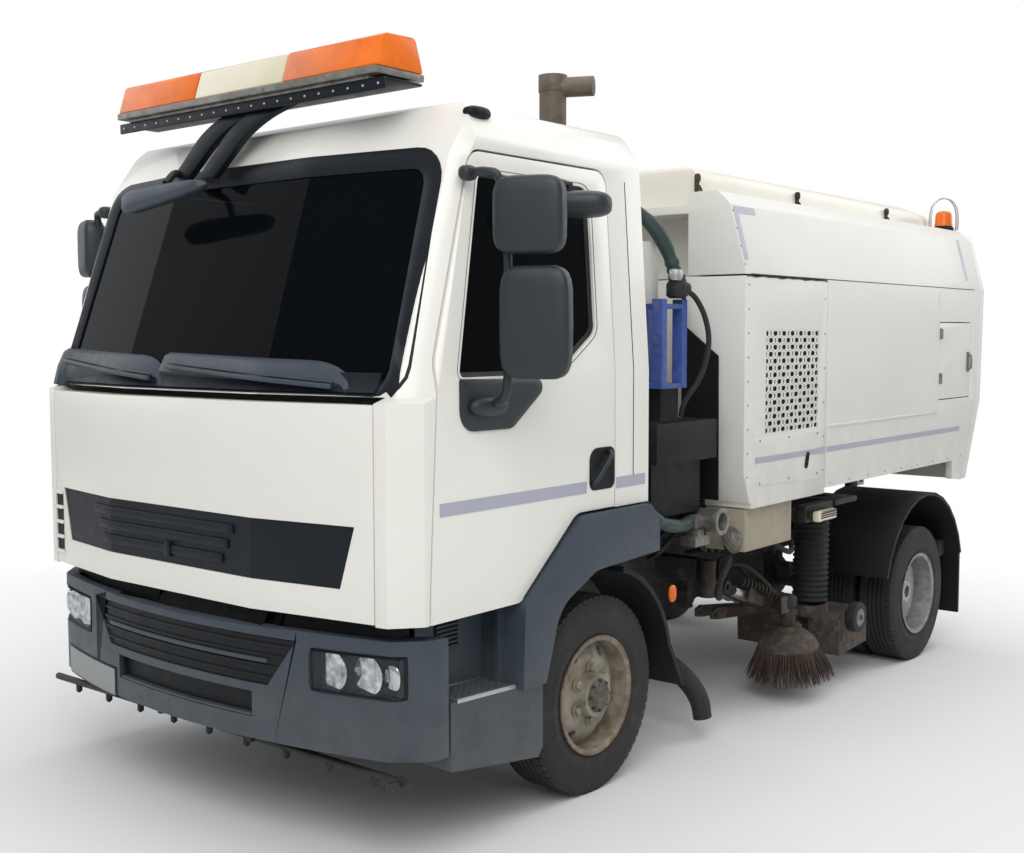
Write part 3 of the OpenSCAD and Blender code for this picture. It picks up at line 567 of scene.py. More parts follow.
# ---- finishes ----
def finish(name, colour, rough=0.5, metal=0.0, coat=0.0, mottle=0.06, cloud=3.0,
           grain=(350, 0.05), dirt=None, spots=None, axle=None, extra=None):
    """A procedural finish on Object coordinates. dirt is (colour, height where it ends, height
    where it is full, share); spots is (colour, size, share); axle is (y, z, radius, colour)."""
    material = bpy.data.materials.new(name)
    material.use_nodes = True
    n, link = material.node_tree.nodes, material.node_tree.links.new
    shader = n["Principled BSDF"]
    place = n.new("ShaderNodeTexCoord").outputs["Object"]

    def noise(scale, detail=6.0, roughness=0.6):
        node = n.new("ShaderNodeTexNoise")
        node.inputs["Scale"].default_value = scale
        node.inputs["Detail"].default_value = detail
        node.inputs["Roughness"].default_value = roughness
        link(place, node.inputs["Vector"])
        return node.outputs["Fac"]

    def remap(value, low, high, to_low, to_high):
        node = n.new("ShaderNodeMapRange")
        link(value, node.inputs["Value"])
        for key, v in zip(("From Min", "From Max", "To Min", "To Max"),
                          (low, high, to_low, to_high)):
            node.inputs[key].default_value = v
        return node.outputs["Result"]

    def mix(factor, a, b):
        node = n.new("ShaderNodeMix")
        node.data_type = "RGBA"
        link(factor, node.inputs[0])
        for socket, v in ((node.inputs[6], a), (node.inputs[7], b)):
            if isinstance(v, tuple):
                socket.default_value = (*v[:3], 1)
            else:
                link(v, socket)
        return node.outputs[2]

    def times(a, b):
        node = n.new("ShaderNodeMath")
        node.operation = "MULTIPLY"
        node.use_clamp = True
        for socket, v in zip(node.inputs, (a, b)):
            if isinstance(v, float):
                socket.default_value = v
            else:
                link(v, socket)
        return node.outputs[0]

    tone = mix(remap(noise(cloud), 0.3, 0.7, 0, 1),
               tuple(c * (1 - mottle) for c in colour),
               tuple(min(1, c * (1 + mottle)) for c in colour))
    spread = min(0.07, mottle)
    dull = remap(noise(cloud * 6), 0.3, 0.7, max(0.02, rough - spread), min(1, rough + spread))
    if spots:
        tone = mix(times(remap(noise(spots[1], 9.0), 0.58 - spots[2] * 0.25,
                               0.80 - spots[2] * 0.25, 0, 1), 0.75), tone, spots[0])
    if axle:
        gap = n.new("ShaderNodeVectorMath")
        gap.operation = "SUBTRACT"
        link(place, gap.inputs[0])
        gap.inputs[1].default_value = (0, axle[0], axle[1])
        flat = n.new("ShaderNodeVectorMath")
        flat.operation = "MULTIPLY"
        link(gap.outputs[0], flat.inputs[0])
        flat.inputs[1].default_value = (0, 1, 1)
        length = n.new("ShaderNodeVectorMath")
        length.operation = "LENGTH"
        link(flat.outputs[0], length.inputs[0])
        edge = remap(length.outputs["Value"], axle[2] - 0.035, axle[2], 0, 1)
        tone = mix(times(edge, remap(noise(30.0), 0.35, 0.6, 0.2, 1)), tone, axle[3])
    if dirt:
        split = n.new("ShaderNodeSeparateXYZ")
        link(place, split.inputs[0])
        low = remap(split.outputs["Z"], dirt[2], dirt[1], 1, 0)
        cover = times(low, remap(noise(9.0, 8.0), 0.3, 0.7, 0.15, 1))
        tone = mix(times(cover, float(dirt[3])), tone, dirt[0])
    link(tone, shader.inputs["Base Color"])
    link(dull, shader.inputs["Roughness"])
    shader.inputs["Metallic"].default_value = metal
    shader.inputs["Coat Weight"].default_value = coat
    shader.inputs["Coat Roughness"].default_value = 0.08
    if grain:
        bump = n.new("ShaderNodeBump")
        bump.inputs["Strength"].default_value = grain[1]
        bump.inputs["Distance"].default_value = 0.002
        link(noise(grain[0], 3.0), bump.inputs["Height"])
        link(bump.outputs[0], shader.inputs["Normal"])
    for key, v in (extra or {}).items():
        shader.inputs[key].default_value = v
    material.diffuse_color = (*colour, 1)
    return material


# ---- the user's settings ----
def length(name, description, default, low, high):
    return bpy.props.FloatProperty(name=name, description=description, default=default,
                                   min=low, max=high)


def colour(name, description, default):
    return bpy.props.FloatVectorProperty(name=name, description=description, size=3,
                                         subtype="COLOR", default=default, min=0, max=1)


class SweeperSizes(bpy.types.PropertyGroup):
    """Sizes of the dressing, in millimetres"""
    panel_edge: length("Panel edge", "Radius of the edges of painted panels", 9, 2, 20)
    plastic_edge: length("Plastic edge", "Radius of the edges of moulded plastic", 14, 3, 30)
    rivet: length("Rivet", "Radius of a rivet's head", 5.5, 3, 9)
    bristle: length("Bristle", "Length of the broom's bristles", 205, 120, 220)
    tread_count: bpy.props.IntProperty(name="Tread blocks", description="Blocks round a tyre",
                                       default=66, min=40, max=90)


class SweeperColours(bpy.types.PropertyGroup):
    """Colours of the main finishes"""
    cab: colour("Cab", "Paint of the cab", (0.82, 0.80, 0.735))
    body: colour("Body", "Paint of the sweeper body", (0.76, 0.745, 0.69))
    hood: colour("Hood", "Moulded roof hood", (0.78, 0.75, 0.65))
    plastic: colour("Plastic", "Bumper, steps and arches", (0.036, 0.050, 0.066))
    lens: colour("Lens", "Amber lenses", (0.86, 0.17, 0.012))


PAINT = {}
DUST = (0.30, 0.26, 0.20)


def settings():
    return bpy.context.scene.sweeper_sizes


class SWEEPER_OT_finishes(bpy.types.Operator):
    """Makes every finish"""
    bl_idname = "sweeper.finishes"
    bl_label = "Finishes"

    def execute(self, context):
        c = context.scene.sweeper_colours
        p = PAINT
        p["cab"] = finish("cab_gloss_paint", tuple(c.cab), 0.3, coat=0.35, mottle=0.008,
                          grain=None, dirt=(DUST, 1.0, 0.8, 0.10))
        p["body"] = finish("body_satin_paint", tuple(c.body), 0.42, coat=0.1, mottle=0.03,
                           cloud=1.2, grain=(45, 0.03), dirt=(DUST, 1.75, 0.85, 0.34))
        p["hood"] = finish("hood_gel_coat", tuple(c.hood), 0.35, coat=0.2, mottle=0.03,
                           grain=(40, 0.03))
        p["plastic"] = finish("slate_plastic", tuple(c.plastic), 0.47, mottle=0.14, cloud=5,
                              grain=(900, 0.12), dirt=((0.13, 0.125, 0.115), 0.72, 0.36, 0.5))
        p["mirror"] = finish("mirror_plastic", (0.018, 0.024, 0.027), 0.45, mottle=0.15,
                             grain=(900, 0.15))
        matt = {"Specular IOR Level": 0.22}
        p["black"] = finish("black_plastic", (0.009, 0.010, 0.012), 0.5, mottle=0.2,
                            grain=(800, 0.12), extra=matt)
        p["band"] = finish("band_plastic", (0.008, 0.011, 0.015), 0.42, mottle=0.15,
                           grain=(900, 0.1), extra=matt)
        p["rubber"] = finish("black_rubber", (0.014, 0.0145, 0.016), 0.68, mottle=0.25,
                             grain=(500, 0.25))
        p["chassis"] = finish("chassis_paint", (0.022, 0.021, 0.02), 0.72, mottle=0.3, cloud=8,
                              grain=(220, 0.4), spots=((0.10, 0.075, 0.05), 16, 0.3))
        p["gear"] = finish("dirty_steel", (0.055, 0.045, 0.036), 0.66, metal=0.45, mottle=0.4,
                           cloud=11, grain=(180, 0.6), spots=((0.12, 0.065, 0.035), 22, 0.4))
        p["gear_dark"] = finish("oily_steel", (0.028, 0.026, 0.024), 0.5, metal=0.3,
                                mottle=0.4, cloud=14, grain=(200, 0.5))
        p["brown"] = finish("worn_plate", (0.062, 0.045, 0.034), 0.7, mottle=0.35, cloud=12,
                            grain=(160, 0.6), spots=((0.15, 0.13, 0.11), 30, 0.35))
        p["exhaust"] = finish("heat_stained_steel", (0.16, 0.13, 0.10), 0.6, metal=0.5,
                              mottle=0.35, cloud=10, grain=(160, 0.4))
        p["aluminium"] = finish("brushed_aluminium", (0.52, 0.53, 0.54), 0.36, metal=0.9,
                                mottle=0.08, grain=(260, 0.08))
        p["cast"] = finish("cast_aluminium", (0.26, 0.25, 0.23), 0.5, metal=0.75, mottle=0.25,
                           cloud=18, grain=(240, 0.4), spots=((0.12, 0.10, 0.08), 30, 0.3))
        # the strong mottle paints light and dark patches into the reflector's colour: painted
        # reflections, on top of the real mirror shine
        p["chrome"] = finish("reflector_with_painted_reflections", (0.55, 0.57, 0.59), 0.12, metal=1.0,
                             mottle=0.75, cloud=26, grain=None)
        p["plate"] = finish("plate_face", (0.30, 0.31, 0.30), 0.55, mottle=0.04, grain=None)
        p["grease"] = finish("greasy_steel", (0.10, 0.082, 0.062), 0.55, mottle=0.5, cloud=30,
                             grain=(220, 0.5), spots=((0.025, 0.02, 0.016), 46, 0.5))
        p["blue"] = finish("blue_paint", (0.035, 0.075, 0.30), 0.45, mottle=0.2, cloud=9,
                           grain=(200, 0.2), spots=((0.16, 0.15, 0.14), 26, 0.25))
        p["beige"] = finish("beige_paint", (0.36, 0.32, 0.23), 0.6, mottle=0.12, cloud=6,
                            grain=(200, 0.3), spots=((0.16, 0.13, 0.09), 9, 0.2))
        p["hose"] = finish("green_hose", (0.020, 0.045, 0.040), 0.5, mottle=0.3, cloud=12,
                           grain=(300, 0.3))
        p["stripe"] = finish("reflective_stripe", (0.40, 0.40, 0.47), 0.36, mottle=0.06,
                             grain=(700, 0.05))
        p["lens"] = finish("amber_lens", tuple(c.lens), 0.3, coat=0.15, mottle=0.22, cloud=5,
                           grain=(90, 0.05), extra={"Specular IOR Level": 0.3})
        p["red"] = finish("red_lens", (0.42, 0.012, 0.010), 0.3, coat=0.2, mottle=0.1,
                          grain=(90, 0.05))
        p["cream"] = finish("cream_lens", (0.74, 0.68, 0.50), 0.25, coat=0.4, mottle=0.05,
                            grain=(90, 0.05))
        p["clear"] = finish("clear_cover", (0.2, 0.22, 0.24), 0.04, coat=0.5, mottle=0.0,
                            grain=None, extra={"Alpha": 0.07})
        p["glass"] = finish("tinted_glass", (0.003, 0.004, 0.005), 0.05, mottle=0.1, grain=None,
                            extra={"Alpha": 0.88, "Specular IOR Level": 0.03})
        p["silvered"] = finish("mirror_glass", (0.55, 0.57, 0.58), 0.05, metal=1.0,
                               mottle=0.02, grain=None)
        p["bottle"] = finish("translucent_bottle", (0.62, 0.62, 0.58), 0.4, mottle=0.1,
                             grain=(200, 0.1))
        p["tyre"] = finish("tyre_rubber", (0.021, 0.0205, 0.020), 0.82, mottle=0.2, cloud=7,
                           grain=(420, 0.35), spots=((0.05, 0.046, 0.04), 6, 0.25))
        rust = (0.13, 0.06, 0.03)
        p["front_wheel"] = finish(
            "weathered_wheel_paint", (0.27, 0.245, 0.19), 0.6, mottle=0.25, cloud=9,
            grain=(200, 0.35), spots=((0.10, 0.07, 0.045), 14, 0.45),
            axle=(-CENTRE_Y / 1000, AXLE_Z / 1000, 0.236, rust))
        p["rear_wheel"] = finish(
            "silver_wheel_paint", (0.42, 0.42, 0.41), 0.42, metal=0.55, mottle=0.12, cloud=8,
            grain=(260, 0.2), spots=((0.16, 0.14, 0.12), 18, 0.15),
            axle=((WHEELBASE - CENTRE_Y) / 1000, AXLE_Z / 1000, 0.236, (0.12, 0.10, 0.08)))
        p["indicator"] = finish("nut_indicator", (0.25, 0.22, 0.10), 0.55, mottle=0.2)
        p["bristle"] = finish("brown_bristle", (0.050, 0.030, 0.020), 0.75, mottle=0.5,
                              cloud=60)
        p["seat"] = finish("seat_cloth", (0.030, 0.033, 0.038), 0.9, mottle=0.2, cloud=30,
                           grain=(1400, 0.5), extra={"Sheen Weight": 0.3})
        p["dash"] = finish("dash_plastic", (0.045, 0.048, 0.052), 0.6, mottle=0.1,
                           grain=(1200, 0.3))
        return {"FINISHED"}


# ---- the cab ----
def on_bow(x, t):
    """The bumper's curved face at x, moved back by t."""
    return BUMPER_R - BUMPER_FRONT - math.sqrt((BUMPER_R - t) ** 2 - x * x)


def bowed_bar(bm, xs, zs, ts, steps=24, top_xs=None):
    """A bar that follows the bumper's curve: from x to x, z to z, and t in front to behind."""
    rings = []
    top = top_xs or xs
    for i in range(steps + 1):
        low = xs[0] + (xs[1] - xs[0]) * i / steps
        high = top[0] + (top[1] - top[0]) * i / steps
        rings.append([lean(low, on_bow(low, ts[0]), zs[0]), lean(high, on_bow(high, ts[0]), zs[1]),
                      lean(high, on_bow(high, ts[1]), zs[1]), lean(low, on_bow(low, ts[1]), zs[0])])
    return loft(bm, rings)


class SWEEPER_OT_cab(bpy.types.Operator):
    """Dresses the cab shell, its windscreen, seals, wipers and front mirror"""
    bl_idname = "sweeper.cab"
    bl_label = "Cab"

    def execute(self, context):
        p = PAINT
        edge = settings().panel_edge
        coloured("cab_shell", "cab_panels", [p["cab"], p["black"]],
                 lambda q: 1 if q.z < 935 and abs(q.x) < 850 else 0, edge)
        paint("windscreen", p["glass"])
        dressed("seats", "seat_covers", [p["seat"]], 34, segments=4)
        dressed("dashboard", "dashboard_moulding", [p["dash"]], 12)
        front = Surface("cab_shell", "windscreen")
        bm = bmesh.new()
        seal(bm, front.from_front, SCREEN_ROWS, -52, 22, (3, 9, 5))
        # dark foot of the screen, from corner to corner
        patch(bm, front.from_front, (-905, 905), (1604, 1668), (30, 3), (14, 4))
        finished("screen_seal", bm, "cab", [p["band"]], shade=50)
        bm = bmesh.new()
        for x0, x1, top in ((-985, -140, 1738), (-150, 800, 1728)):
            rings = []
            for k in range(25):
                x = x0 + (x1 - x0) * k / 24
                end = max(0.0, (k - 19) / 5)
                high = top - 26 * k / 24 - 92 * (1 - math.sqrt(1 - end * end))
                rings.append([front.from_front(x, z, lift) for z, lift in (
                    (1585, 2), (1590, 34), ((1590 + high) / 2, 40 - 22 * end),
                    (high - 14, 30 - 20 * end), (high, 8), (high - 10, 1))])
            loft(bm, rings)
            route = [unlean(front.from_front(x0 + 60 + (x1 - x0 - 120) * k / 6,
                                             top - 52 - 9 * k, 50 - 2 * k)) for k in range(7)]
            tube(bm, lean, route, 9, 8, 3)
            tube(bm, lean, [q + Vector((0, 8, 14)) for q in route], 4, 6, 3)
        finished("wiper_cowls", bm, "cab", [p["plastic"]], bevel=6, angle=40)
        bm = bmesh.new()
        rings = []
        for k in range(17):
            u = k / 8 - 1
            x = -225 + 262 * u
            full = max(0.12, (1 - abs(u) ** 5) ** 0.4)
            low, high = 2246 + 34 * (u + 1), 2356 + 6 * u
            mid = (low + high) / 2
            rings.append([lean(x, -1085 + b * full, mid + (high - low) * a * full)
                          for a, b in ((-0.5, -30), (-0.3, -44), (0.25, -40), (0.47, -18),
                                       (0.5, 16), (0.2, 34), (-0.4, 30), (-0.5, 5))])
        loft(bm, rings)
        finished("front_mirror", bm, "cab", [p["plastic"]], shade=60)
        bm = bmesh.new()
        superegg(bm, lean, (962, -655, 2545), (30, 60, 22), power=2.6)
        finished("roof_marker", bm, "cab", [p["black"]])
        side = Surface("cab_shell")
        bm = bmesh.new()
        for s in (1, -1):
            lay = lambda y, z, lift: side.from_side(y, z, lift, s)
            patch(bm, lay, (34, 234), (1199, 1243), (6, 1), (1.4, -1))
        finished("cab_rear_stripe", bm, "cab", [p["stripe"]])
        bm = bmesh.new()
        for s in (1, -1):
            route = [unlean(side.from_side(150, z, 0.5, s)) for z in range(1240, 2400, 60)]
            tube(bm, lean, route, 1.8, 6, 1)
        finished("cab_side_seams", bm, "cab", [p["band"]])
        return {"FINISHED"}


class SWEEPER_OT_front(bpy.types.Operator):
    """Dresses the hinged front panel and its dark band"""
    bl_idname = "sweeper.front"
    bl_label = "Front panel"

    def execute(self, context):
        p = PAINT
        dressed("front_panel", "front_lid", [p["cab"]], settings().panel_edge)
        paint("grille_band", p["band"])
        front = Surface("grille_band", "front_panel")
        bm = bmesh.new()
        for z, x0, x1 in ((1120, -560, 330), (1066, -520, 300), (1012, -480, 270)):
            patch(bm, front.from_front, (x0, x1), (z - 17, z + 17), (30, 2), (9, -2))
        # pull of the lid
        patch(bm, front.from_front, (-60, -28), (985, 1040), (2, 2), (16, -2))
        finished("band_ribs", bm, "front_panel", [p["band"]], bevel=5)
        bm = bmesh.new()
        lay = front.from_front
        patch(bm, lay, (-928, -868), (905, 1150), (2, 8), (3, -2))
        finished("vent_frame", bm, "front_panel", [p["black"]])
        bm = bmesh.new()
        for k in range(5):
            z = 905 + k * 61
            patch(bm, lay, (-931, -862), (z - 7, z + 7), (2, 1), (12, 1))
        patch(bm, lay, (-931, -922), (900, 1155), (1, 8), (12, 1))
        finished("vent_bars", bm, "front_panel", [p["cab"]], bevel=2)
        return {"FINISHED"}


class SWEEPER_OT_doors(bpy.types.Operator):
    """Dresses the doors, their glass, seals, handles and stripes"""
    bl_idname = "sweeper.doors"
    bl_label = "Doors"

    def execute(self, context):
        p = PAINT
        for s, word in ((1, "left"), (-1, "right")):
            body = "door_" + word
            dressed(body, "door_skin_" + word, [p["cab"]], 5)
            paint("door_glass_" + word, p["glass"])
            skin = Surface(body, "door_glass_" + word)
            lay = lambda y, z, lift: skin.from_side(y, z, lift, s)
            bm = bmesh.new()
            seal(bm, lay, WINDOW_ROWS, -12, 16, (2, 7, 2))
            finished("window_seal_" + word, bm, body, [p["rubber"]], shade=50)
            bm = bmesh.new()
            patch(bm, lay, (-965, -158), (1199, 1243), (20, 1), (1.4, -1))
            finished("door_stripe_" + word, bm, body, [p["stripe"]])
            # moulded corner under the glass that carries the mirror's foot
            bm = bmesh.new()
            corner = rounded([(-866, 1470, 70), (-600, 1468, 60), (-372, 1634, 30),
                              (-868, 1646, 10)])
            centre = Vector((-680, 1560))
            loops = [[lay(*(centre + (q - centre) * k), d) for q in corner]
                     for k, d in ((1, -2), (1, 6), (0.96, 10), (0.8, 12), (0.3, 12))]
            loft(bm, loops if s > 0 else [r[::-1] for r in loops])
            finished("window_corner_" + word, bm, body, [p["mirror"]])
            # handle: a recessed pan with a pull across it
            bm = bmesh.new()
            pan = rounded([(-140, 1205, 30), (20, 1205, 30), (20, 1365, 30), (-140, 1365, 50)])
            x = HALF_W * s
            centre = Vector((-60, 1285))
            loops = [[lean(x + s * d, *(centre + (q - centre) * k)) for q in pan]
                     for k, d in ((1, -3), (1, 3), (0.93, 4), (0.84, 0.5), (0.3, 0.5))]
            loft(bm, loops if s > 0 else [r[::-1] for r in loops])
            finished("handle_pan_" + word, bm, body, [p["black"]], shade=50)
            bm = bmesh.new()
            tube(bm, lean, [(x + s * 3, -122, 1232), (x + s * 17, -112, 1248),
                            (x + s * 20, -70, 1290), (x + s * 17, -24, 1332),
                            (x + s * 3, -12, 1346)], 10, 12, 4)
            finished("handle_pull_" + word, bm, body, [p["mirror"]])
        return {"FINISHED"}


MIRROR_HEADS = ((1262, -742, 2177, 126), (1272, -722, 1830, 186))   # place, half height
MIRROR_TURN = math.radians(24)


class SWEEPER_OT_mirrors(bpy.types.Operator):
    """Makes the door mirrors with their posts, and the kerb mirror"""
    bl_idname = "sweeper.mirrors"
    bl_label = "Mirrors"

    def execute(self, context):
        p = PAINT
        for s, word in ((1, "left"), (-1, "right")):
            body = "door_" + word
            place = lambda x, y, z: lean(s * x, y, z)
            bm = bmesh.new()
            for x, y, z, half in MIRROR_HEADS:
                superegg(bm, place, (x, y, z), (119, 50, half), MIRROR_TURN, 5)
            tube(bm, place, [(1064, -745, 1556), (1125, -748, 1566), (1168, -747, 1610),
                             (1170, -745, 1800), (1170, -745, 2100), (1160, -770, 2290),
                             (1120, -790, 2322), (1030, -795, 2322)], 15, 14)
            superegg(bm, place, (1088, -745, 1552), (34, 92, 34), power=2.4)
            superegg(bm, place, (1048, -800, 2322), (26, 34, 26), power=2.6)
            if s > 0:
                superegg(bm, place, (1160, -330, 2248), (112, 84, 46), math.radians(30), 3.2)
                tube(bm, place, [(1025, -380, 2330), (1090, -380, 2330), (1150, -370, 2312)],
                     12, 12)
            finished("mirror_heads_" + word, bm, body, [p["mirror"]],
                     replaces=("mirrors_" + word,))
            bm = bmesh.new()
            for x, y, z, half in MIRROR_HEADS:
                glass = (x - 49 * math.sin(MIRROR_TURN), y + 49 * math.cos(MIRROR_TURN), z)
                superegg(bm, place, glass, (100, 4, half - 24), MIRROR_TURN, 5)
            finished("mirror_glasses_" + word, bm, body, [p["silvered"]])
        return {"FINISHED"}


class SWEEPER_OT_light_bar(bpy.types.Operator):
    """Makes the roof's amber light bar with its tray, bracket and arms"""
    bl_idname = "sweeper.light_bar"
    bl_label = "Light bar"

    def execute(self, context):
        p = PAINT
        section = rounded([(-922, 2694, 6), (-697, 2694, 6), (-735, 2812, 24), (-886, 2807, 24)])
        spans = ((-753, -252), (-246, 261), (267, 753))
        for word, span, key in zip(("right", "middle", "left"), spans,
                                   ("lens", "cream", "lens")):
            bm = bmesh.new()
            prism(bm, lean, "x", section, *span)
            finished("light_bar_lens_" + word, bm, "cab", [p[key]], bevel=5,
                     angle=50, shade=24, replaces=("light_bar",) if key == "cream" else ())
        bm = bmesh.new()
        prism(bm, lean, "x", rounded([(-930, 2668, 4), (-690, 2668, 4), (-690, 2693, 4),
                                      (-930, 2693, 4)]), -750, 750)
        prism(bm, lean, "x", rounded([(-912, 2656, 4), (-708, 2656, 4), (-708, 2668, 4),
                                      (-912, 2668, 4)]), -700, 700)
        finished("light_bar_tray", bm, "cab", [p["cast"]], bevel=3)
        bm = bmesh.new()
        box(bm, lean, (-770, -900, 2646), (770, -720, 2656))
        box(bm, lean, (-770, -906, 2616), (770, -896, 2656))
        for x0 in (-270, -100):
            # a flat curved arm from the head of the screen to the bracket
            line = curve_through([(x0, -985, 2385), (x0 + 50, -955, 2460),
                                  (x0 + 110, -925, 2540), (x0 + 190, -895, 2600),
                                  (x0 + 300, -865, 2645)], 5)
            rings = []
            for i, q in enumerate(line):
                half = 36 + 26 * i / len(line)
                rings.append([lean(q.x - half, q.y, q.z + 12), lean(q.x + half, q.y, q.z - 12),
                              lean(q.x + half, q.y + 34, q.z - 12),
                              lean(q.x - half, q.y + 34, q.z + 12)])
            loft(bm, rings)
        finished("light_bar_bracket", bm, "cab", [p["band"]], bevel=4)
        bm = bmesh.new()
        tube(bm, lean, [(-225, -1075, 2360), (-235, -1030, 2400), (-260, -985, 2405)], 14, 12)
        finished("front_mirror_arm", bm, "cab", [p["mirror"]])
        places = [(lean(x, -906, 2636), lean_direction(0, -1, 0)) for x in range(-740, 760, 74)]
        heads("bracket_bolts", "cab", places, p["aluminium"], 5, 3)
        return {"FINISHED"}


# ---- bumper, steps and arches ----
class SWEEPER_OT_bumper(bpy.types.Operator):
    """Dresses the bumper, its grille, the lamps, plate and spray bar"""
    bl_idname = "sweeper.bumper"
    bl_label = "Bumper"

    def execute(self, context):
        p = PAINT
        dressed("bumper", "bumper_moulding", [p["plastic"]], settings().plastic_edge,
                angle=25, segments=4)
        paint("bumper_grille", p["black"])
        bm = bmesh.new()
        prism(bm, lean, "x", [(-1096, 700), (-1080, 700), (-1010, 843), (-1030, 843)], -300,
              300)
        for s in (1, -1):
            prism(bm, lean, "x", [(-1060, 690), (-1040, 690), (-1000, 843), (-1020, 843)],
                  min(s * 375, s * 960), max(s * 375, s * 960))
        finished("front_apron", bm, "chassis", [p["black"]])
        bm = bmesh.new()
        for k in range(4):
            z = 612 + k * 38
            half = 470 + (z - 590) * 0.75
            bowed_bar(bm, (-half, half), (z, z + 13), (2, 20), top_xs=(-half - 9, half + 9))
        finished("grille_bars", bm, "chassis", [p["black"]], bevel=4)
        bm = bmesh.new()
        bowed_bar(bm, (-470, 470), (668, 684), (-2, 12))
        finished("grille_slot_bar", bm, "chassis", [p["plastic"]], bevel=5)
        # dark mouth of the lower opening, then its tread
        bm = bmesh.new()
        bowed_bar(bm, (-398, 398), (471, 559), (30, 34))
        finished("lower_mouth", bm, "chassis", [p["black"]])
        bm = bmesh.new()
        bowed_bar(bm, (-390, 390), (471, 480), (4, 30))
        finished("lower_tread", bm, "chassis", [p["plastic"]], bevel=2)
        # blank number plate in its frame
        bm = bmesh.new()
        bowed_bar(bm, (-916, -424), (384, 505), (-3, 14), 8)
        finished("plate_frame", bm, "chassis", [p["black"]], bevel=4)
        bm = bmesh.new()
        bowed_bar(bm, (-906, -434), (393, 496), (-7, 0), 8)
        finished("blank_plate", bm, "chassis", [p["plate"]], bevel=2)
        self.lamps()
        dressed("spray_bar", "spray_pipe", [p["gear_dark"]], 2)
        bm = bmesh.new()
        for k in range(9):
            lathe(bm, level, (-880 + 220 * k, -1090, 300), (0, 0, -1),
                  [(13, 0), (13, 16), (8, 20), (8, 30), (4, 34)], 12)
        lathe(bm, level, (1010, -1090, 310), (0, -1, 0), [(20, -4), (20, 12), (12, 14), (12, 44),
                                                         (16, 46), (16, 62)], 16)
        finished("spray_nozzles", bm, "chassis", [p["gear_dark"]], shade=40)
        return {"FINISHED"}

    def lamps(self):
        """Two round reflectors a side, in a housing under a clear cover."""
        p = PAINT
        front = Surface("headlamps", "bumper")
        bowls, shells, rims = bmesh.new(), bmesh.new(), bmesh.new()
        bulbs, ambers, backs = bmesh.new(), bmesh.new(), bmesh.new()
        for s in (1, -1):
            place = lambda x, y, z: lean(s * x, y, z)
            lay = lambda x, z, lift: front.from_front(s * x, z, lift)
            for x, r in ((735, 62), (866, 63)):
                y = on_bow(x, 16)
                lathe(bowls, place, (x, y, 672), (0, 1, 0),
                      [(r + 3, 0), (r, 2), (r * 0.86, 20), (r * 0.6, 36), (r * 0.24, 44)], 22)
                lathe(bulbs, place, (x, y + 6, 672), (0, 1, 0),
                      [(3, 0), (12, 4), (14, 14), (14, 34)], 20)
            superegg(ambers, place, (952, on_bow(940, 22), 672), (34, 10, 44), power=3)
            patch(shells, lay, (662, 992), (607, 738), (20, 6), (3, -1))
            rows = [(657, 602, 14), (997, 602, 14), (997, 743, 14), (657, 743, 14)]
            seal(rims, lambda x, z, lift: lay(x, z, lift), rows, -3, 8, (3, 5, 4))
            # dark housing behind the bowls
            rings = [[place(x, on_bow(x, t), z) for z, t in ((606, 40), (740, 40), (740, 58),
                                                             (606, 58))]
                     for x in range(660, 996, 20)]
            loft(backs, rings)
        finished("headlamp_housings", backs, "chassis", [p["gear_dark"]])
        finished("headlamp_bowls", bowls, "chassis", [p["chrome"]], shade=12)
        finished("headlamp_bulbs", bulbs, "chassis", [p["cream"]])
        finished("indicator_lamps", ambers, "chassis", [p["silvered"]])
        finished("headlamp_covers", shells, "chassis", [p["clear"]],
                 replaces=("headlamps",))
        finished("headlamp_rims", rims, "chassis", [p["black"]], shade=50)


def holed_cell(bm, place, size, hole, depth, corner=0.35):
    """A flat cell round a soft-cornered hole; size and hole are (width, height)."""
    steps = 16
    def loop(w, h, soft, d):
        points = []
        for k in range(steps):
            a = 2 * math.pi * (k + 0.5) / steps
            c, s = math.cos(a), math.sin(a)
            m = max(abs(c), abs(s))
            square, circle = Vector((c / m, s / m)), Vector((c, s))
            q = square.lerp(circle, soft)
            points.append(place(q.x * w / 2, q.y * h / 2, d))
        return points
    rings = [loop(*size, 0, 0), loop(*hole, corner, 0), loop(*hole, corner, depth),
             loop(*size, 0, depth)]
    rings.append(rings[0])
    return loft(bm, rings, caps=False)


TREAD_FRONT = -876        # first row of holes in the perforated tread
TREAD_ENDS = (-884, -578)


def step_top(y):
    """Height of the step's top, which falls to the rear."""
    return 572 - 24 * (y + 915) / 493


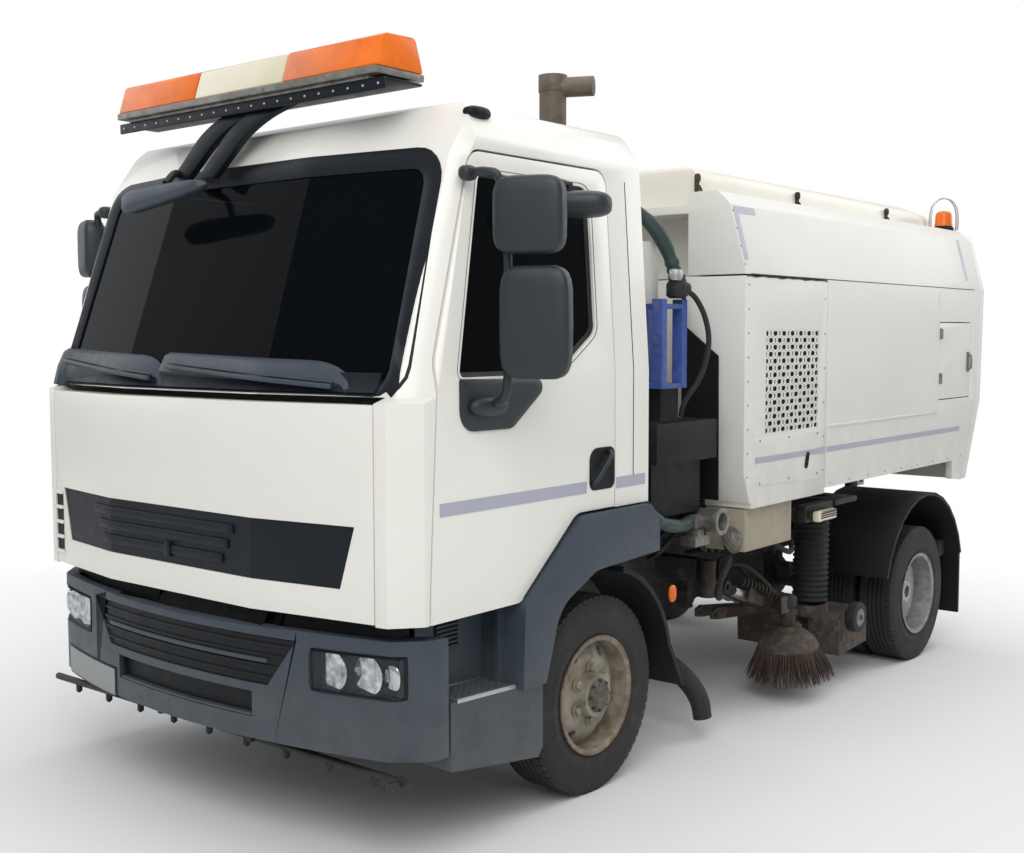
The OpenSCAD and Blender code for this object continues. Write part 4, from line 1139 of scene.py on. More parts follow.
class SWEEPER_OT_steps(bpy.types.Operator):
    """Dresses the steps and arches, with their perforated treads"""
    bl_idname = "sweeper.steps"
    bl_label = "Steps and arches"

    def execute(self, context):
        p = PAINT
        for s, word in ((1, "left"), (-1, "right")):
            dressed("step_" + word, "step_moulding_" + word, [p["plastic"]],
                    settings().plastic_edge * 0.7, angle=25)
            place = lambda x, y, z: lean(s * x, y, z)
            bm = bmesh.new()
            # slots lie across the step, staggered from row to row
            for k in (0, 1):
                holed_cell(bm, lambda a, b, d: place(912 + 13 * k + a, TREAD_FRONT + 17 * k + b,
                                                     step_top(TREAD_FRONT + b) + 4 + d),
                           (26, 17), (19, 9), -4)
            grown("step_tread_" + word, bm, "chassis", grid_tree, {
                "Columns": 6, "Rows": 9,
                "Column Step": place(26, 0, 0) - place(0, 0, 0),
                "Row Step": lean_direction(0, 1, -0.0487) * 0.034, "Finish": p["aluminium"]})
            bm = bmesh.new()
            loft(bm, [[place(x, y, step_top(y) + b) for x, b in
                       ((900, 0.4), (1044, 0.4), (1044, 1.2), (900, 1.2))]
                      for y in TREAD_ENDS])
            finished("step_well_" + word, bm, "chassis", [p["black"]])
            bm = bmesh.new()
            outline = [(0, 3), (10, -6), (10, 10), (0, 10)]
            loft(bm, [[place(1057 + a, y, step_top(y) + b) for a, b in outline]
                      for y in TREAD_ENDS])
            for x in (896, 1046):
                outline = [(0, 1), (12, 1), (12, 8), (0, 8)]
                loft(bm, [[place(x + a, y, step_top(y) + b) for a, b in outline]
                          for y in TREAD_ENDS])
            finished("step_nosing_" + word, bm, "chassis", [p["aluminium"]],
                     bevel=2)
            bm = bmesh.new()
            box(bm, place, (900, -820, 700), (903, -700, 822))
            finished("vent_back_" + word, bm, "chassis", [p["black"]])
            bm = bmesh.new()
            box(bm, place, (901, -816, 704), (910, -704, 711))
            grown("vent_louvres_" + word, bm, "chassis", grid_tree, {
                "Columns": 1, "Rows": 8, "Row Step": lean_direction(0, 0, 1) * 0.0155,
                "Finish": p["plastic"]})
        return {"FINISHED"}


# ---- wheels ----
class SWEEPER_OT_wheels(bpy.types.Operator):
    """Makes the tyres and dresses the wheels"""
    bl_idname = "sweeper.wheels"
    bl_label = "Wheels"

    def execute(self, context):
        for s, word in ((1, "left"), (-1, "right")):
            self.tyre("tyre_front_" + word, "wheel_front_" + word, [s * FRONT_WHEEL_X], 0)
            self.tyre("tyres_rear_" + word, "wheels_rear_" + word,
                      [s * REAR_OUTER_X, s * (REAR_OUTER_X - TWIN_PITCH)], WHEELBASE)
            dressed("wheel_front_" + word, "wheel_disc_front_" + word,
                    [PAINT["front_wheel"]], 4, angle=35)
            dressed("wheels_rear_" + word, "wheel_discs_rear_" + word,
                    [PAINT["rear_wheel"]], 4, angle=35)
            self.nuts("front_" + word, "wheel_front_" + word, s, 0, FRONT_WHEEL_X + 60, 102,
                      "front_wheel")
            self.nuts("rear_" + word, "wheels_rear_" + word, s, WHEELBASE, 832, 102,
                      "rear_wheel")
            # greased hub end inside the front wheel
            bm = bmesh.new()
            lathe(bm, level, (s * FRONT_WHEEL_X, 0, AXLE_Z), (s, 0, 0),
                  [(66, 96), (66, 108), (54, 116), (50, 124), (30, 130), (2, 131)], 40)
            finished("hub_end_front_" + word, bm, "wheel_front_" + word,
                     [PAINT["grease"]])
            # black ring behind the hand holes: painted shade, so the holes read dark
            bm = bmesh.new()
            lathe(bm, level, (s * FRONT_WHEEL_X, 0, AXLE_Z), (s, 0, 0),
                  [(150, -32), (205, -32), (205, -18), (150, -18)], 40, closed=True)
            finished("hole_shade_ring_front_" + word, bm, "wheel_front_" + word, [PAINT["black"]])
            places = [(level(s * (FRONT_WHEEL_X + 114), 58 * math.sin(a), AXLE_Z
                             + 58 * math.cos(a)), Vector((s, 0, 0)))
                      for a in (2 * math.pi * k / 8 for k in range(8))]
            heads("hub_bolts_" + word, "wheel_front_" + word, places, PAINT["gear"], 8, 8, 6)
        return {"FINISHED"}

    def nuts(self, word, body, s, y, x, circle, key):
        """Six wheel nuts, with loose-nut indicators on the front wheel only."""
        bm = bmesh.new()
        lathe(bm, level, (s * x, y, AXLE_Z + circle), (s, 0, 0),
              [(22, 0), (22, 4), (17, 5), (17, 22), (12, 25), (8, 26)], 12)
        values = {"Count": 6, "Centre": level(0, y, AXLE_Z)}
        grown("wheel_nuts_" + word, bm, body, ring_tree,
              {**values, "Finish": PAINT[key]})
        bm = bmesh.new()
        lathe(bm, level, (s * (x + 5), y, AXLE_Z + circle), (s, 0, 0),
              [(18, 0), (25, 0), (25, 6), (18, 6)], 20, closed=True)
        if key == "front_wheel":
            grown("nut_indicators_" + word, bm, body, ring_tree,
                  {**values, "Finish": PAINT["indicator"]})
        else:
            bm.free()

    def tyre(self, node, body, xs, y):
        """Carcass with circumferential grooves, and shoulder blocks round it."""
        shoulder, groove, deep = 387, 5, 377
        half = TYRE_W / 2
        left = [(224, -88), (238, -93), (250, -97), (258, -98), (262, -100.5), (286, -102),
                (290, -100.5), (332, -half), (340, -101), (358, -98), (372, -94), (381, -86),
                (384.5, -63), (shoulder, -62)]
        middle = []
        for g in (-38, -13, 13, 38):
            middle += [(shoulder, g - groove), (deep, g - groove + 1), (deep, g + groove - 1),
                       (shoulder, g + groove)]
        profile = left + middle + [(r, -a) for r, a in left[::-1]]
        bm = bmesh.new()
        for x in xs:
            lathe(bm, level, (x, y, AXLE_Z), (1, 0, 0), profile, 96, closed=True)
        name = node + "_carcass"
        finished(name, bm, body, [PAINT["tyre"]], replaces=(node,), shade=40)
        bm = bmesh.new()
        for x in xs:
            for side in (1, -1):
                edge = [(63, 15), (88, 14), (88, -14), (63, -15)]
                loops = [[level(x + side * a * (1 if r > 380 else 1.04), y + b * w, AXLE_Z + r)
                          for a, b in edge] for r, w in ((370, 1.1), (shoulder, 1))]
                loft(bm, loops)
        grown(node + "_blocks", bm, body, ring_tree, {
            "Count": settings().tread_count, "Centre": level(0, y, AXLE_Z),
            "Finish": PAINT["tyre"]})


# ---- chassis ----
class SWEEPER_OT_chassis(bpy.types.Operator):
    """Dresses the frame, axles, engine, guards, tank and boxes"""
    bl_idname = "sweeper.chassis"
    bl_label = "Chassis"

    def execute(self, context):
        p = PAINT
        for node, key, edge, slot in (
                ("chassis_frame", "chassis", 3, "chassis_metal"),
                ("cross_members", "chassis", 3, "chassis_metal"),
                ("propshaft", "gear_dark", 3, "chassis_metal"),
                ("rear_springs", "chassis", 3, "chassis_metal"),
                ("front_axle", "chassis", 4, "chassis_metal"),
                ("rear_axle", "chassis", 5, "chassis_metal"),
                ("engine", "gear_dark", 14, "dark_metal"),
                ("mudguards", "black", 4, "black_plastic"),
                ("fuel_tank", "aluminium", 12, "tank_aluminium"),
                ("battery_box", "black", 8, "black_plastic"),
                ("rear_bumper", "gear_dark", 5, "dark_metal"),
                ("knuckle_left", "gear_dark", 3, "chassis_metal"),
                ("knuckle_right", "gear_dark", 3, "chassis_metal"),
                ("exhaust_stack", "exhaust", 4, "exhaust_metal")):
            dressed(node, node + "_finished", [p[key]], edge)
        bm = bmesh.new()
        for y in (1600, 2150):
            ring = rounded([(-1003, 418, 60), (-556, 418, 60), (-556, 822, 60), (-1003, 822, 60)])
            prism(bm, lean, "y", ring, y, y + 40)
        finished("tank_straps", bm, "chassis", [p["gear_dark"]], bevel=2)
        bm = bmesh.new()
        for z in (1560, 1900, 2300, 2700):
            lathe(bm, lean, (242, 700, z), (0, 0, 1), [(62, -3), (67, 0), (67, 26), (62, 29)], 40)
        finished("stack_bands", bm, "chassis", [p["gear_dark"]])
        # three lenses a side and a blank plate on the rear bumper
        for key, word, x0 in (("red", "stop", 860), ("lens", "turn", 745), ("red", "tail", 630)):
            bm = bmesh.new()
            for s in (1, -1):
                place = lambda x, y, z: lean(s * x, y, z)
                box(bm, place, (x0, 3650, 466), (x0 + 110, 3662, 524))
            finished("rear_lamps_" + word, bm, "chassis", [p[key]], bevel=5)
        bm = bmesh.new()
        box(bm, lean, (-260, 3638, 444), (260, 3646, 536))
        finished("rear_plate", bm, "chassis", [p["plate"]], bevel=3)
        # marker lamp on the front guard
        bm = bmesh.new()
        superegg(bm, lean, (1046, 474, 716), (12, 24, 36), power=2.4)
        finished("marker_lamp", bm, "chassis", [p["lens"]])
        return {"FINISHED"}


# ---- behind the cab ----
class SWEEPER_OT_service(bpy.types.Operator):
    """Dresses the service frame, boxes and hoses behind the cab"""
    bl_idname = "sweeper.service"
    bl_label = "Service frame"

    def execute(self, context):
        p = PAINT
        coloured("service_frame", "service_boxes", [p["blue"], p["black"], p["bottle"]],
                 lambda q: 2 if q.z > 1922 and (q.x - 770) ** 2 + (q.y - 640) ** 2 < 80 ** 2
                 else 0 if q.z > 1559 else 1, 4)
        coloured("tool_box", "tool_boxes", [p["beige"], p["gear_dark"]],
                 lambda q: 0 if 819 < q.x < 1031 and q.y < 1561 and q.z > 799 else 1, 6)
        dressed("hydrant_coupling", "fill_coupling", [p["cast"]], 3)
        bm = bmesh.new()
        tube(bm, lean, [(700, 470, 2330), (770, 520, 2325), (835, 575, 2280), (880, 625, 2200),
                        (905, 665, 2110), (915, 690, 2030)], 30, 18, 12, wave=2.5, pitch=9)
        tube(bm, lean, [(985, 350, 1090), (988, 400, 1045), (985, 480, 1005), (978, 580, 980),
                        (962, 680, 968), (942, 750, 968), (930, 792, 968)], 27, 18, 12,
             wave=2.5, pitch=9)
        finished("ribbed_hoses", bm, "chassis", [p["hose"]],
                 replaces=("hoses",), shade=60)
        bm = bmesh.new()
        tube(bm, lean, [(925, 740, 1985), (950, 790, 1950), (975, 830, 1870), (985, 850, 1770),
                        (970, 850, 1670), (945, 835, 1590), (915, 810, 1530), (895, 790, 1480),
                        (890, 780, 1432)], 12, 14)
        lathe(bm, lean, (915, 700, 1945), (0, 0, 1), [(30, 0), (46, 10), (46, 60), (36, 74),
                                                     (36, 100)], 28)
        superegg(bm, lean, (918, 722, 1986), (44, 40, 30), power=3)
        # black pipes and cables down to the frame
        for k in range(5):
            x = 560 + 62 * k
            tube(bm, lean, [(x, 860 + 8 * k, 1240), (x + 14, 905, 1120), (x - 8, 900, 1020),
                            (x + 24, 850, 930), (x + 40, 780 - 20 * k, 850),
                            (x - 30, 700, 800)], 9 + 2 * (k % 3), 10)
        for k in range(4):
            tube(bm, lean, [(470 + 40 * k, 440, 1210), (480 + 44 * k, 400, 1130),
                            (500 + 40 * k, 420, 1010), (470 + 30 * k, 480, 900),
                            (440, 520 + 50 * k, 800)], 11, 10)
        finished("black_hoses", bm, "chassis", [p["rubber"]], shade=60)
        bm = bmesh.new()
        prism(bm, lean, "x", rounded([(600, 2020, 18), (700, 2020, 18), (700, 2066, 18),
                                      (600, 2066, 18)]), 938, 946)
        for y, z in ((628, 2043), (672, 2043)):
            lathe(bm, lean, (946, y, z), (1, 0, 0), [(20, 0), (20, 5), (12, 7)], 20)
        finished("clamp_plate", bm, "chassis", [p["aluminium"]])
        return {"FINISHED"}


# ---- sweeper body ----
def rivet_line(lay, start, end, count, normal):
    """Rivet places from one (y, z) to another on a surface."""
    return [(lay(start[0] + (end[0] - start[0]) * k / (count - 1),
                 start[1] + (end[1] - start[1]) * k / (count - 1), 0), normal)
            for k in range(count)]


SLOPE = Vector((0.966, 0, 0.257))


class SWEEPER_OT_housing(bpy.types.Operator):
    """Dresses the engine housing with its grille, access panel and rivets"""
    bl_idname = "sweeper.housing"
    bl_label = "Engine housing"

    def execute(self, context):
        p = PAINT
        dressed("engine_housing", "housing_panels", [p["body"]], settings().panel_edge)
        bm = bmesh.new()
        prism(bm, lean, "y", [(-930, 1040), (938, 1040), (932, 1693), (757, 1828), (757, 2040),
                              (740, 2040), (740, 1400), (-740, 1400), (-740, 1828),
                              (-757, 1828), (-930, 1693)], 1022, 1029)
        finished("bulkhead_lining", bm, "chassis", [p["black"]])
        flat = Surface("engine_housing")
        for s, word in ((1, "left"), (-1, "right")):
            place = lambda x, y, z: lean(s * x, y, z)
            lay = lambda y, z, lift: flat.from_side(y, z, lift, s)
            out = Vector((s, 0, 0))
            bm = bmesh.new()
            box(bm, place, (1053, 1222, 1333), (1056.5, 1761, 1813))
            finished("grille_backing_" + word, bm, "chassis", [p["black"]])
            # squares and slots by turns, changing places from row to row
            bm = bmesh.new()
            pair, row = 84.6, 31.8
            for k, z in ((0, 1333 + row / 2), (1, 1333 + row * 1.5)):
                wide, slim = 1228 + k * pair / 2, 1228 + (1 - k) * pair / 2
                holed_cell(bm, lambda a, b, d: place(1060 + d, wide + a, z + b),
                           (pair - 26, row), (42, 23), 4, 0.45)
                holed_cell(bm, lambda a, b, d: place(1060 + d, slim + a, z + b), (26, row),
                           (15, 23), 4, 0.45)
            grown("side_grille_" + word, bm, "chassis", grid_tree, {
                "Columns": 7, "Rows": 8, "Column Step": lean_direction(0, 1, 0) * pair / 1000,
                "Row Step": lean_direction(0, 0, 1) * row / 500, "Finish": p["body"]})
            # access panel with its screws and slanted handle
            bm = bmesh.new()
            panel = rounded([(1150, 1104, 8), (1760, 1082, 8), (1760, 1322, 8),
                             (1126, 1322, 8)])
            loops = [[place(HALF_W + d, y, z) for y, z in panel] for d in (-2, 3.5)]
            loft(bm, loops if s > 0 else loops[::-1])
            finished("access_panel_" + word, bm, "chassis", [p["body"]],
                     bevel=1.5)
            bm = bmesh.new()
            handle = rounded([(1608, 1145, 12), (1640, 1145, 12), (1662, 1225, 12),
                              (1630, 1225, 12)])
            loops = [[place(HALF_W + d, 1635 + (y - 1635) * k, 1185 + (z - 1185) * k)
                      for y, z in handle] for k, d in ((1, 2), (1, 7), (0.8, 9), (0.6, 5),
                                                       (0.1, 5))]
            loft(bm, loops if s > 0 else loops[::-1])
            finished("access_handle_" + word, bm, "chassis", [p["black"]])
            bm = bmesh.new()
            patch(bm, lambda y, z, lift: place(HALF_W + lift, y, z), (1132, 1834),
                  STRIPE_Z, (2, 1), (5, 2.5))
            finished("housing_stripe_" + word, bm, "chassis", [p["stripe"]])
            screws = [(place(HALF_W + 3.5, y, z), out) for y in (1168, 1450, 1745)
                      for z in (1112, 1308)]
            heads("panel_screws_" + word, "chassis", screws, p["cast"], 6, 3.5)
            places = rivet_line(lay, (1058, 1150), (1058, 2010), 9, out)
            places += rivet_line(lay, (1816, 1120), (1816, 1960), 6, out)
            heads("housing_rivets_" + word, "chassis", places, p["cast"], settings().rivet,
                  2.6)
            # irregular line where the tipping body parts from the housing
            bm = bmesh.new()
            route = [(1064.5, 1034 + 40 * k, 2049 + 2.2 * math.sin(k * 2.1) + 1.4
                      * math.sin(k * 5.3)) for k in range(21)]
            tube(bm, place, route, 3.2, 6, 2)
            finished("parting_seal_" + word, bm, "chassis", [p["rubber"]])
        return {"FINISHED"}


BEACON = (850, 3900)


class SWEEPER_OT_hopper(bpy.types.Operator):
    """Dresses the hopper, its doors, marks, rivets, hood and beacon"""
    bl_idname = "sweeper.hopper"
    bl_label = "Hopper"

    def execute(self, context):
        p = PAINT
        edge = settings().panel_edge
        dressed("hopper", "hopper_panels", [p["body"]], edge)
        dressed("rear_door", "rear_door_panel", [p["body"]], edge)
        dressed("hood", "hood_moulding", [p["hood"]], 22, angle=20, segments=4)
        dressed("inspection_door", "inspection_hatch", [p["body"]], 4)
        shell = Surface("hopper")
        for s, word in ((1, "left"), (-1, "right")):
            lay = lambda y, z, lift: shell.from_side(y, z, lift, s)
            out = Vector((s, 0, 0))
            slope = Vector((s * SLOPE.x, 0, SLOPE.z))
            bm = bmesh.new()
            patch(bm, lay, (1856, 3660), STRIPE_Z, (20, 1), (1.5, -1))
            finished("hopper_stripe_" + word, bm, "hopper", [p["stripe"]])
            bm = bmesh.new()
            patch(bm, lay, (1046, 1084), (2120, 2362), (1, 10), (1.5, -1))
            patch(bm, lay, (1084, 1240), (2330, 2362), (6, 1), (1.5, -1))
            patch(bm, lay, (3760, 3800), (2110, 2362), (1, 10), (1.5, -1))
            finished("corner_marks_" + word, bm, "hopper", [p["stripe"]])
            places = rivet_line(lay, (1042, 2100), (1042, 2340), 4, slope)
            places += rivet_line(lay, (1900, 1050), (3700, 1050), 9, out)
            heads("hopper_rivets_" + word, "hopper", places, p["cast"], settings().rivet, 2.6)
            # lip along the foot of the side panel, and its seams
            bm = bmesh.new()
            patch(bm, lay, (1858, 3300), (1331, 1343), (4, 1), (7, -1))
            patch(bm, lay, (3296, 3308), (1331, 2040), (1, 8), (4, -1))
            finished("side_lip_" + word, bm, "hopper", [p["body"]], bevel=2)
            bm = bmesh.new()
            route = [unlean(lay(y, 2058, 0.3)) for y in range(1080, 3920, 90)]
            tube(bm, lean, route, 2.4, 6, 1)
            finished("waist_seam_" + word, bm, "hopper", [p["gear_dark"]])
        bm = bmesh.new()
        for y in (1110, 2100, 3230):
            for s in (1, -1):
                place = lambda x, yy, z: lean(s * x, yy, z)
                box(bm, place, (754, y - 12, 2400), (766, y + 12, 2500))
                superegg(bm, place, (764, y, 2506), (12, 16, 20), power=3)
                tube(bm, place, [(772, y - 14, 2400), (778, y - 14, 2440), (772, y, 2470),
                                 (778, y + 14, 2440), (772, y + 14, 2400)], 5, 8)
        finished("hood_latches", bm, "hopper", [p["gear"]], shade=50)
        self.hatch()
        self.beacon()
        bm = bmesh.new()
        prism(bm, lean, "x", [(3964, 1000), (3996, 1000), (4028, 1330), (4004, 1330)], -700,
              700)
        finished("rear_door_lip", bm, "rear_door", [p["body"]], bevel=6)
        return {"FINISHED"}

    def hatch(self):
        """Hinges and handle of the side hatch."""
        p = PAINT
        bm = bmesh.new()
        for z in (1530, 1790):
            lathe(bm, lean, (1071, 3315, z - 32), (0, 0, 1), [(8.5, 0), (8.5, 64)], 16)
            prism(bm, lean, "z", [(1065, 3318), (1069, 3318), (1069, 3362), (1065, 3362)],
                  z - 28, z + 28)
        box(bm, lean, (1065, 3758, 1560), (1071, 3794, 1680))
        tube(bm, lean, [(1070, 3776, 1575), (1086, 3776, 1585), (1088, 3776, 1620),
                        (1086, 3776, 1655), (1070, 3776, 1665)], 6, 10)
        finished("hatch_fittings", bm, "inspection_door", [p["cast"]])

    def beacon(self):
        """Amber beacon on its foot, inside a wire guard."""
        p = PAINT
        bm = bmesh.new()
        lathe(bm, lean, (*BEACON, 2455), (0, 0, 1),
              [(54, 0), (54, 12), (52, 20), (50, 66), (45, 84), (30, 94), (12, 98), (2, 99)],
              36)
        finished("beacon_lens", bm, "hopper", [p["lens"]], replaces=("beacon",))
        bm = bmesh.new()
        lathe(bm, lean, (*BEACON, 2433), (0, 0, 1), [(62, 0), (62, 14), (54, 22), (54, 26)], 36)
        finished("beacon_foot", bm, "hopper", [p["black"]])
        bm = bmesh.new()
        for turn in (0.2, 0.9):
            c, s = math.cos(turn), math.sin(turn)
            route = [(BEACON[0] + c * a, BEACON[1] + s * a, 2433 + b) for a, b in
                     ((-84, 0), (-86, 70), (-76, 140), (-44, 184), (0, 198), (44, 184),
                      (76, 140), (86, 70), (84, 0))]
            tube(bm, lean, route, 4.5, 8)
        finished("beacon_guard", bm, "hopper", [p["aluminium"]])


# ---- sweep gear ----
def spring(bm, place, start, end, radius, wire, turns):
    """A coil spring between two places."""
    per_turn = 14
    a, b = Vector(start), Vector(end)
    d = (b - a).normalized()
    side = d.orthogonal().normalized()
    up = d.cross(side)
    total = turns * per_turn
    route = [a + (b - a) * k / total + radius * (
        side * math.cos(2 * math.pi * k / per_turn) + up * math.sin(2 * math.pi * k / per_turn))
        for k in range(total + 1)]
    tube(bm, place, route, wire, 8, 1)


HOSE_LENGTH = 526


class SWEEPER_OT_gear(bpy.types.Operator):
    """Makes the channel broom, suction nozzle, hose, springs and lamps"""
    bl_idname = "sweeper.gear"
    bl_label = "Sweep gear"

    def execute(self, context):
        p = PAINT
        dressed("broom_bracket", "broom_bracket_finished", [p["gear"]], 4)
        dressed("broom_arm", "broom_arm_finished", [p["gear"]], 4)
        dressed("nozzle", "nozzle_housing", [p["brown"]], 5)
        dressed("nozzle_roller", "roller_tread", [p["rubber"]], 6)
        self.broom()
        bm = bmesh.new()
        ribs = [(86 if k % 2 else 96, HOSE_LENGTH * k / 36) for k in range(37)]
        lathe(bm, level, (800, 2235, 445), (0, 0, 1), ribs, 40)
        hose = finished("suction_hose_bellows", bm, "chassis", [p["rubber"]],
                        shade=60, replaces=("suction_hose",))
        hose.parent = None
        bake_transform(hose)
        self.fixed_parts()
        self.arm_parts()
        bm = bmesh.new()
        lathe(bm, level, (1018, 2290, 372), (1, 0, 0), [(46, -1), (46, 49), (30, 52), (12, 53)],
              32)
        finished("roller_hub", bm, "nozzle_roller", [p["cast"]])
        return {"FINISHED"}

    def broom(self):
        """Domed disc over a flared skirt of bristles."""
        p = PAINT
        turn = math.radians(8)
        axis = Vector((0, -math.sin(turn), math.cos(turn)))
        side, up = Vector((1, 0, 0)), Vector((0, math.cos(turn), math.sin(turn)))
        centre = Vector((880, 1820, 440))
        bm = bmesh.new()
        lathe(bm, level, centre, axis, [(150, -180), (154, -172), (150, -160), (132, -132),
                                        (100, -104), (72, -90), (72, -66), (30, -62)], 48)
        finished("broom_dome", bm, "broom", [p["brown"]], replaces=("broom",))
        points, aims = [], []
        for ring, (r, count) in enumerate(((148, 170), (138, 150), (126, 130), (112, 110),
                                           (96, 80))):
            for k in range(count):
                a = 2 * math.pi * (k + 0.37 * ring) / count
                out = side * math.cos(a) + up * math.sin(a)
                lean_out = 0.40 - 0.05 * ring + 0.04 * math.sin(7 * a)
                points.append(level(*(centre + out * r - axis * 168)))
                aims.append((out * lean_out - axis).normalized())
        bm = bmesh.new()
        for q in points:
            bm.verts.new(q)
        grown("broom_bristles", bm, "broom", bristle_tree, {
            "Length": settings().bristle / 1000 * 0.86, "Thickness": 0.0042, "Scatter": 0.09,
            "Seed": 5, "Finish": p["bristle"]}, aims=aims)

    def arm_parts(self):
        """Spring, cylinder and covers that move with the broom's arm and bracket."""
        p = PAINT
        bm = bmesh.new()
        lathe(bm, level, (745, 1500, 575), (0.1, 1, -0.38),
              [(24, 0), (26, 6), (26, 120), (22, 126), (10, 128), (10, 210), (16, 214),
               (16, 240)], 24)
        lathe(bm, level, (655, 1480, 560), (0, 1, -0.35), [(18, 0), (18, 150), (9, 156),
                                                         (9, 250)], 20)
        finished("lift_cylinders", bm, "broom_arm", [p["aluminium"]])
        bm = bmesh.new()
        spring(bm, level, (760, 1560, 620), (860, 1790, 520), 24, 5, 11)
        spring(bm, level, (640, 1500, 640), (640, 1690, 560), 18, 4, 10)
        finished("arm_springs", bm, "broom_arm", [p["gear"]])
        bm = bmesh.new()
        tube(bm, level, [(700, 1455, 640), (720, 1500, 700), (770, 1580, 690), (820, 1680, 610),
                         (850, 1740, 545), (875, 1790, 500)], 11, 12)
        tube(bm, level, [(680, 1460, 650), (660, 1520, 720), (680, 1620, 700), (740, 1700, 600),
                         (800, 1760, 530), (860, 1800, 505)], 9, 12)
        superegg(bm, level, (880, 1800, 500), (54, 54, 40), power=3)
        finished("arm_hoses", bm, "broom_arm", [p["rubber"]])
        bm = bmesh.new()
        prism(bm, level, "x", rounded([(1700, 452, 10), (1860, 452, 20), (1820, 500, 20),
                                       (1740, 540, 20), (1700, 540, 10)]), 905, 915)
        prism(bm, level, "x", rounded([(1560, 520, 10), (1720, 470, 20), (1740, 520, 20),
                                       (1590, 590, 20)]), 790, 800)
        finished("arm_plates", bm, "broom_arm", [p["brown"]], bevel=2)

    def fixed_parts(self):
        """Side duct, work lamp, ribbed cap and hoses that stay with the chassis."""
        p = PAINT
        bm = bmesh.new()
        line = curve_through([(400, 850, 470), (560, 860, 420), (700, 875, 350),
                              (800, 890, 300), (875, 905, 240), (920, 915, 170),
                              (935, 920, 95)], 5)
        rings = []
        for i, q in enumerate(line):
            t = (line[min(i + 1, len(line) - 1)] - line[max(i - 1, 0)]).normalized()
            a = t.cross(Vector((0, 0, 1))).normalized()
            b = t.cross(a)
            w = 62 - 10 * i / len(line)
            rings.append([level(*(q + a * w * math.cos(2 * math.pi * k / 20)
                                  + b * w * 0.8 * math.sin(2 * math.pi * k / 20)))
                          for k in range(20)])
        loft(bm, rings)
        finished("side_duct", bm, "chassis", [p["rubber"]])
        bm = bmesh.new()
        box(bm, lean, (1020, 1800, 858), (1062, 2000, 912))
        finished("work_lamp", bm, "chassis", [p["cream"]], bevel=12)
        bm = bmesh.new()
        box(bm, lean, (1061, 1815, 876), (1064, 1985, 882))
        grown("work_lamp_slots", bm, "chassis", grid_tree, {
            "Columns": 1, "Rows": 3, "Row Step": lean_direction(0, 0, 1) * 0.011,
            "Finish": p["black"]})
        bm = bmesh.new()
        profile = [(64, 0)]
        for k in range(7):
            r = 64 - k * k * 1.1
            profile += [(r, 6 + k * 8), (r - 7, 8 + k * 8), (r - 7, 11 + k * 8)]
        profile += [(6, 66)]
        lathe(bm, lean, (960, 1098, 851), (1, 0, 0.5), profile, 36)
        finished("ribbed_cap", bm, "chassis", [p["cast"]])
        bm = bmesh.new()
        for k in range(5):
            y = 1010 + 60 * k
            tube(bm, lean, [(640 + 30 * k, y, 960), (720 + 22 * k, y + 50, 880),
                            (790 + 10 * k, y + 120, 800 - 8 * k),
                            (760, y + 190, 768 - 7 * k), (640, y + 230, 740)], 12, 10)
        tube(bm, lean, [(930, 1120, 830), (960, 1090, 760), (940, 1060, 680), (900, 1090, 600),
                        (860, 1180, 560), (800, 1280, 600)], 15, 12)
        tube(bm, lean, [(880, 1560, 820), (930, 1600, 760), (960, 1680, 720), (930, 1760, 740),
                        (880, 1800, 800), (850, 1830, 860)], 14, 12)
        finished("gear_hoses", bm, "chassis", [p["rubber"]])
        # dark plate under the rail, behind the sweep gear: painted shade standing in for the shadow
        # beneath the chassis
        bm = bmesh.new()
        box(bm, lean, (372, 760, 400), (380, 2500, 700))
        finished("painted_shade_plate", bm, "chassis", [p["chassis"]])


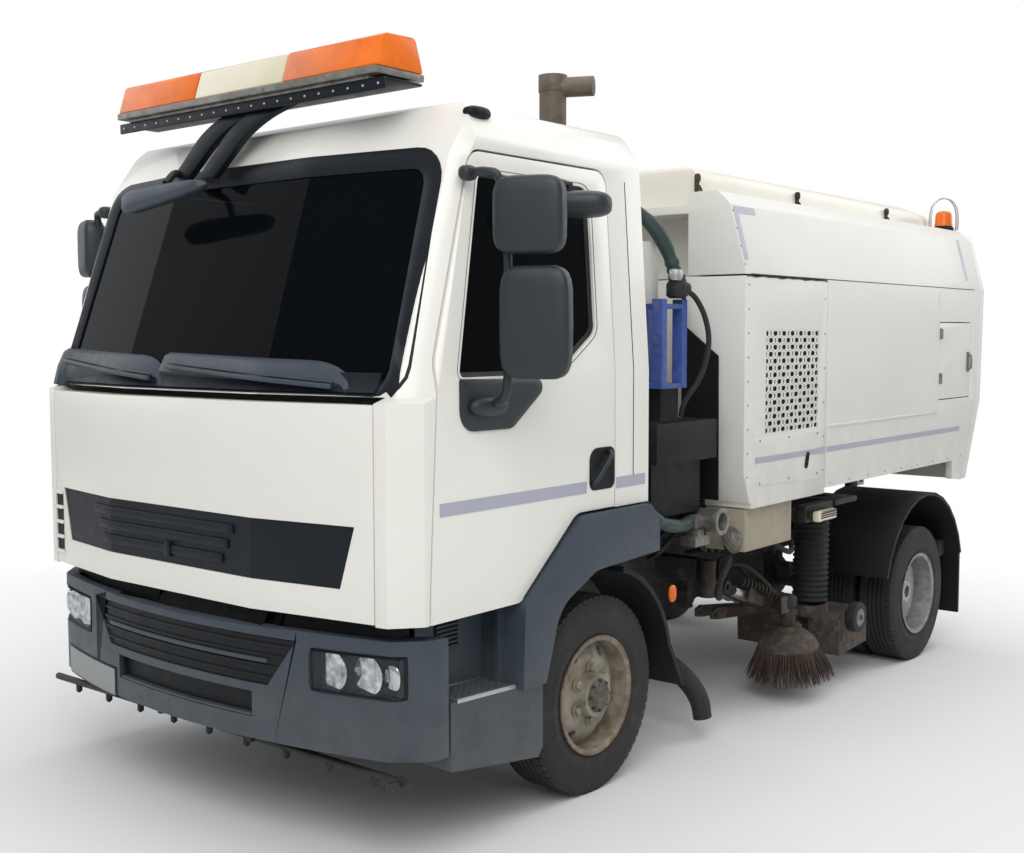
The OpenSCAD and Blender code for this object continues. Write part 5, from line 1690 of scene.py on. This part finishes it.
# ---- stage ----
class SWEEPER_OT_stage(bpy.types.Operator):
    """Adds the floor, the light and the camera"""
    bl_idname = "sweeper.stage"
    bl_label = "Stage"

    def execute(self, context):
        self.floor()
        self.light(context.scene)
        self.camera(context.scene)
        return {"FINISHED"}

    def floor(self):
        bm = bmesh.new()
        bmesh.ops.create_grid(bm, x_segments=1, y_segments=1, size=60)
        mesh = bpy.data.meshes.new("floor")
        bm.to_mesh(mesh)
        bm.free()
        plane = bpy.data.objects.new("floor", mesh)
        bpy.context.scene.collection.objects.link(plane)
        material = bpy.data.materials.new("pale_floor")
        material.use_nodes = True
        tree = material.node_tree
        shader = tree.nodes["Principled BSDF"]
        shader.inputs["Base Color"].default_value = (0.8, 0.8, 0.8, 1)
        shader.inputs["Roughness"].default_value = 0.95
        # far from the vehicle the camera sees the floor as plain white
        white = add(tree, "ShaderNodeEmission", inputs={"Strength": 1.0})
        place = add(tree, "ShaderNodeTexCoord").outputs["Object"]
        reach = add(tree, "ShaderNodeVectorMath", {0: place}, operation="LENGTH")
        fade = add(tree, "ShaderNodeMapRange", {"Value": reach.outputs["Value"]},
                   {"From Min": 2.6, "From Max": 5.5})
        seen = add(tree, "ShaderNodeLightPath").outputs["Is Camera Ray"]
        share = add(tree, "ShaderNodeMath", {0: fade.outputs[0], 1: seen},
                    operation="MULTIPLY")
        mix = add(tree, "ShaderNodeMixShader",
                  {0: share.outputs[0], 1: shader.outputs[0], 2: white.outputs[0]})
        tree.links.new(mix.outputs[0], tree.nodes["Material Output"].inputs["Surface"])
        mesh.materials.append(material)

    def light(self, scene):
        world = bpy.data.worlds.new("studio")
        scene.world = world
        world.use_nodes = True
        tree = world.node_tree
        back = tree.nodes["Background"]
        back.inputs["Color"].default_value = (0.93, 0.96, 1.0, 1)
        back.inputs["Strength"].default_value = 0.5
        white = add(tree, "ShaderNodeBackground",
                    inputs={"Color": (1, 1, 1, 1), "Strength": 1.0})
        seen = add(tree, "ShaderNodeLightPath").outputs["Is Camera Ray"]
        mix = add(tree, "ShaderNodeMixShader",
                  {0: seen, 1: back.outputs[0], 2: white.outputs[0]})
        tree.links.new(mix.outputs[0], tree.nodes["World Output"].inputs["Surface"])
        for name, place, size, power in (
                ("key", (5, -7, 7), 6, 400), ("fill", (-7, -4, 5), 7, 150),
                ("top", (0, 1, 8), 8, 300), ("rear", (4, 8, 6), 6, 200)):
            data = bpy.data.lights.new(name, "AREA")
            data.energy = power
            data.size = size
            lamp = bpy.data.objects.new(name, data)
            lamp.location = place
            lamp.rotation_euler = (Vector((0, 0, 1)) - Vector(place)).to_track_quat(
                "-Z", "Y").to_euler()
            scene.collection.objects.link(lamp)
        scene.view_settings.view_transform = "Standard"

    def camera(self, scene):
        """At eye height off the left front corner."""
        turn, dip, roll = math.radians(39.53), math.radians(4.18), math.radians(-0.10)
        ahead = Vector((-math.sin(turn) * math.cos(dip), math.cos(turn) * math.cos(dip),
                        -math.sin(dip)))
        right = Vector((math.cos(turn), math.sin(turn), 0))
        up = right.cross(ahead)
        right, up = (right * math.cos(roll) + up * math.sin(roll),
                     up * math.cos(roll) - right * math.sin(roll))
        lean_turn = Matrix.Rotation(RAKE, 3, "X")
        axes = Matrix((lean_turn @ right, lean_turn @ up, lean_turn @ -ahead)).transposed()
        data = bpy.data.cameras.new("camera")
        data.lens = 44.44
        data.sensor_width = 36
        camera = bpy.data.objects.new("camera", data)
        camera.matrix_world = Matrix.Translation((3.8369, -3.9957 - CENTRE_Y / 1000, 1.673)) \
            @ axes.to_4x4()
        scene.collection.objects.link(camera)
        scene.camera = camera


class SWEEPER_PT_panel(bpy.types.Panel):
    """Lists the sweeper's pieces and settings"""
    bl_idname = "SWEEPER_PT_panel"
    bl_label = "Street sweeper"
    bl_space_type = "VIEW_3D"
    bl_region_type = "UI"
    bl_category = "Sweeper"

    def draw(self, context):
        for group in (context.scene.sweeper_sizes, context.scene.sweeper_colours):
            for key in group.__annotations__:
                self.layout.prop(group, key)
        for operator in OPERATORS:
            self.layout.operator(operator.bl_idname)


OPERATORS = (SWEEPER_OT_finishes, SWEEPER_OT_cab, SWEEPER_OT_front, SWEEPER_OT_doors,
             SWEEPER_OT_mirrors, SWEEPER_OT_light_bar, SWEEPER_OT_bumper, SWEEPER_OT_steps,
             SWEEPER_OT_wheels, SWEEPER_OT_chassis, SWEEPER_OT_service, SWEEPER_OT_housing,
             SWEEPER_OT_hopper, SWEEPER_OT_gear, SWEEPER_OT_stage)
CLASSES = (SweeperSizes, SweeperColours, *OPERATORS, SWEEPER_PT_panel)


def register():
    for cls in CLASSES:
        bpy.utils.register_class(cls)
    bpy.types.Scene.sweeper_sizes = bpy.props.PointerProperty(type=SweeperSizes)
    bpy.types.Scene.sweeper_colours = bpy.props.PointerProperty(type=SweeperColours)


def unregister():
    del bpy.types.Scene.sweeper_sizes
    del bpy.types.Scene.sweeper_colours
    for cls in reversed(CLASSES):
        bpy.utils.unregister_class(cls)


def main():
    register()
    for operator in OPERATORS:
        getattr(bpy.ops.sweeper, operator.bl_idname.split(".")[1])()


if __name__ == "__main__":
    main()
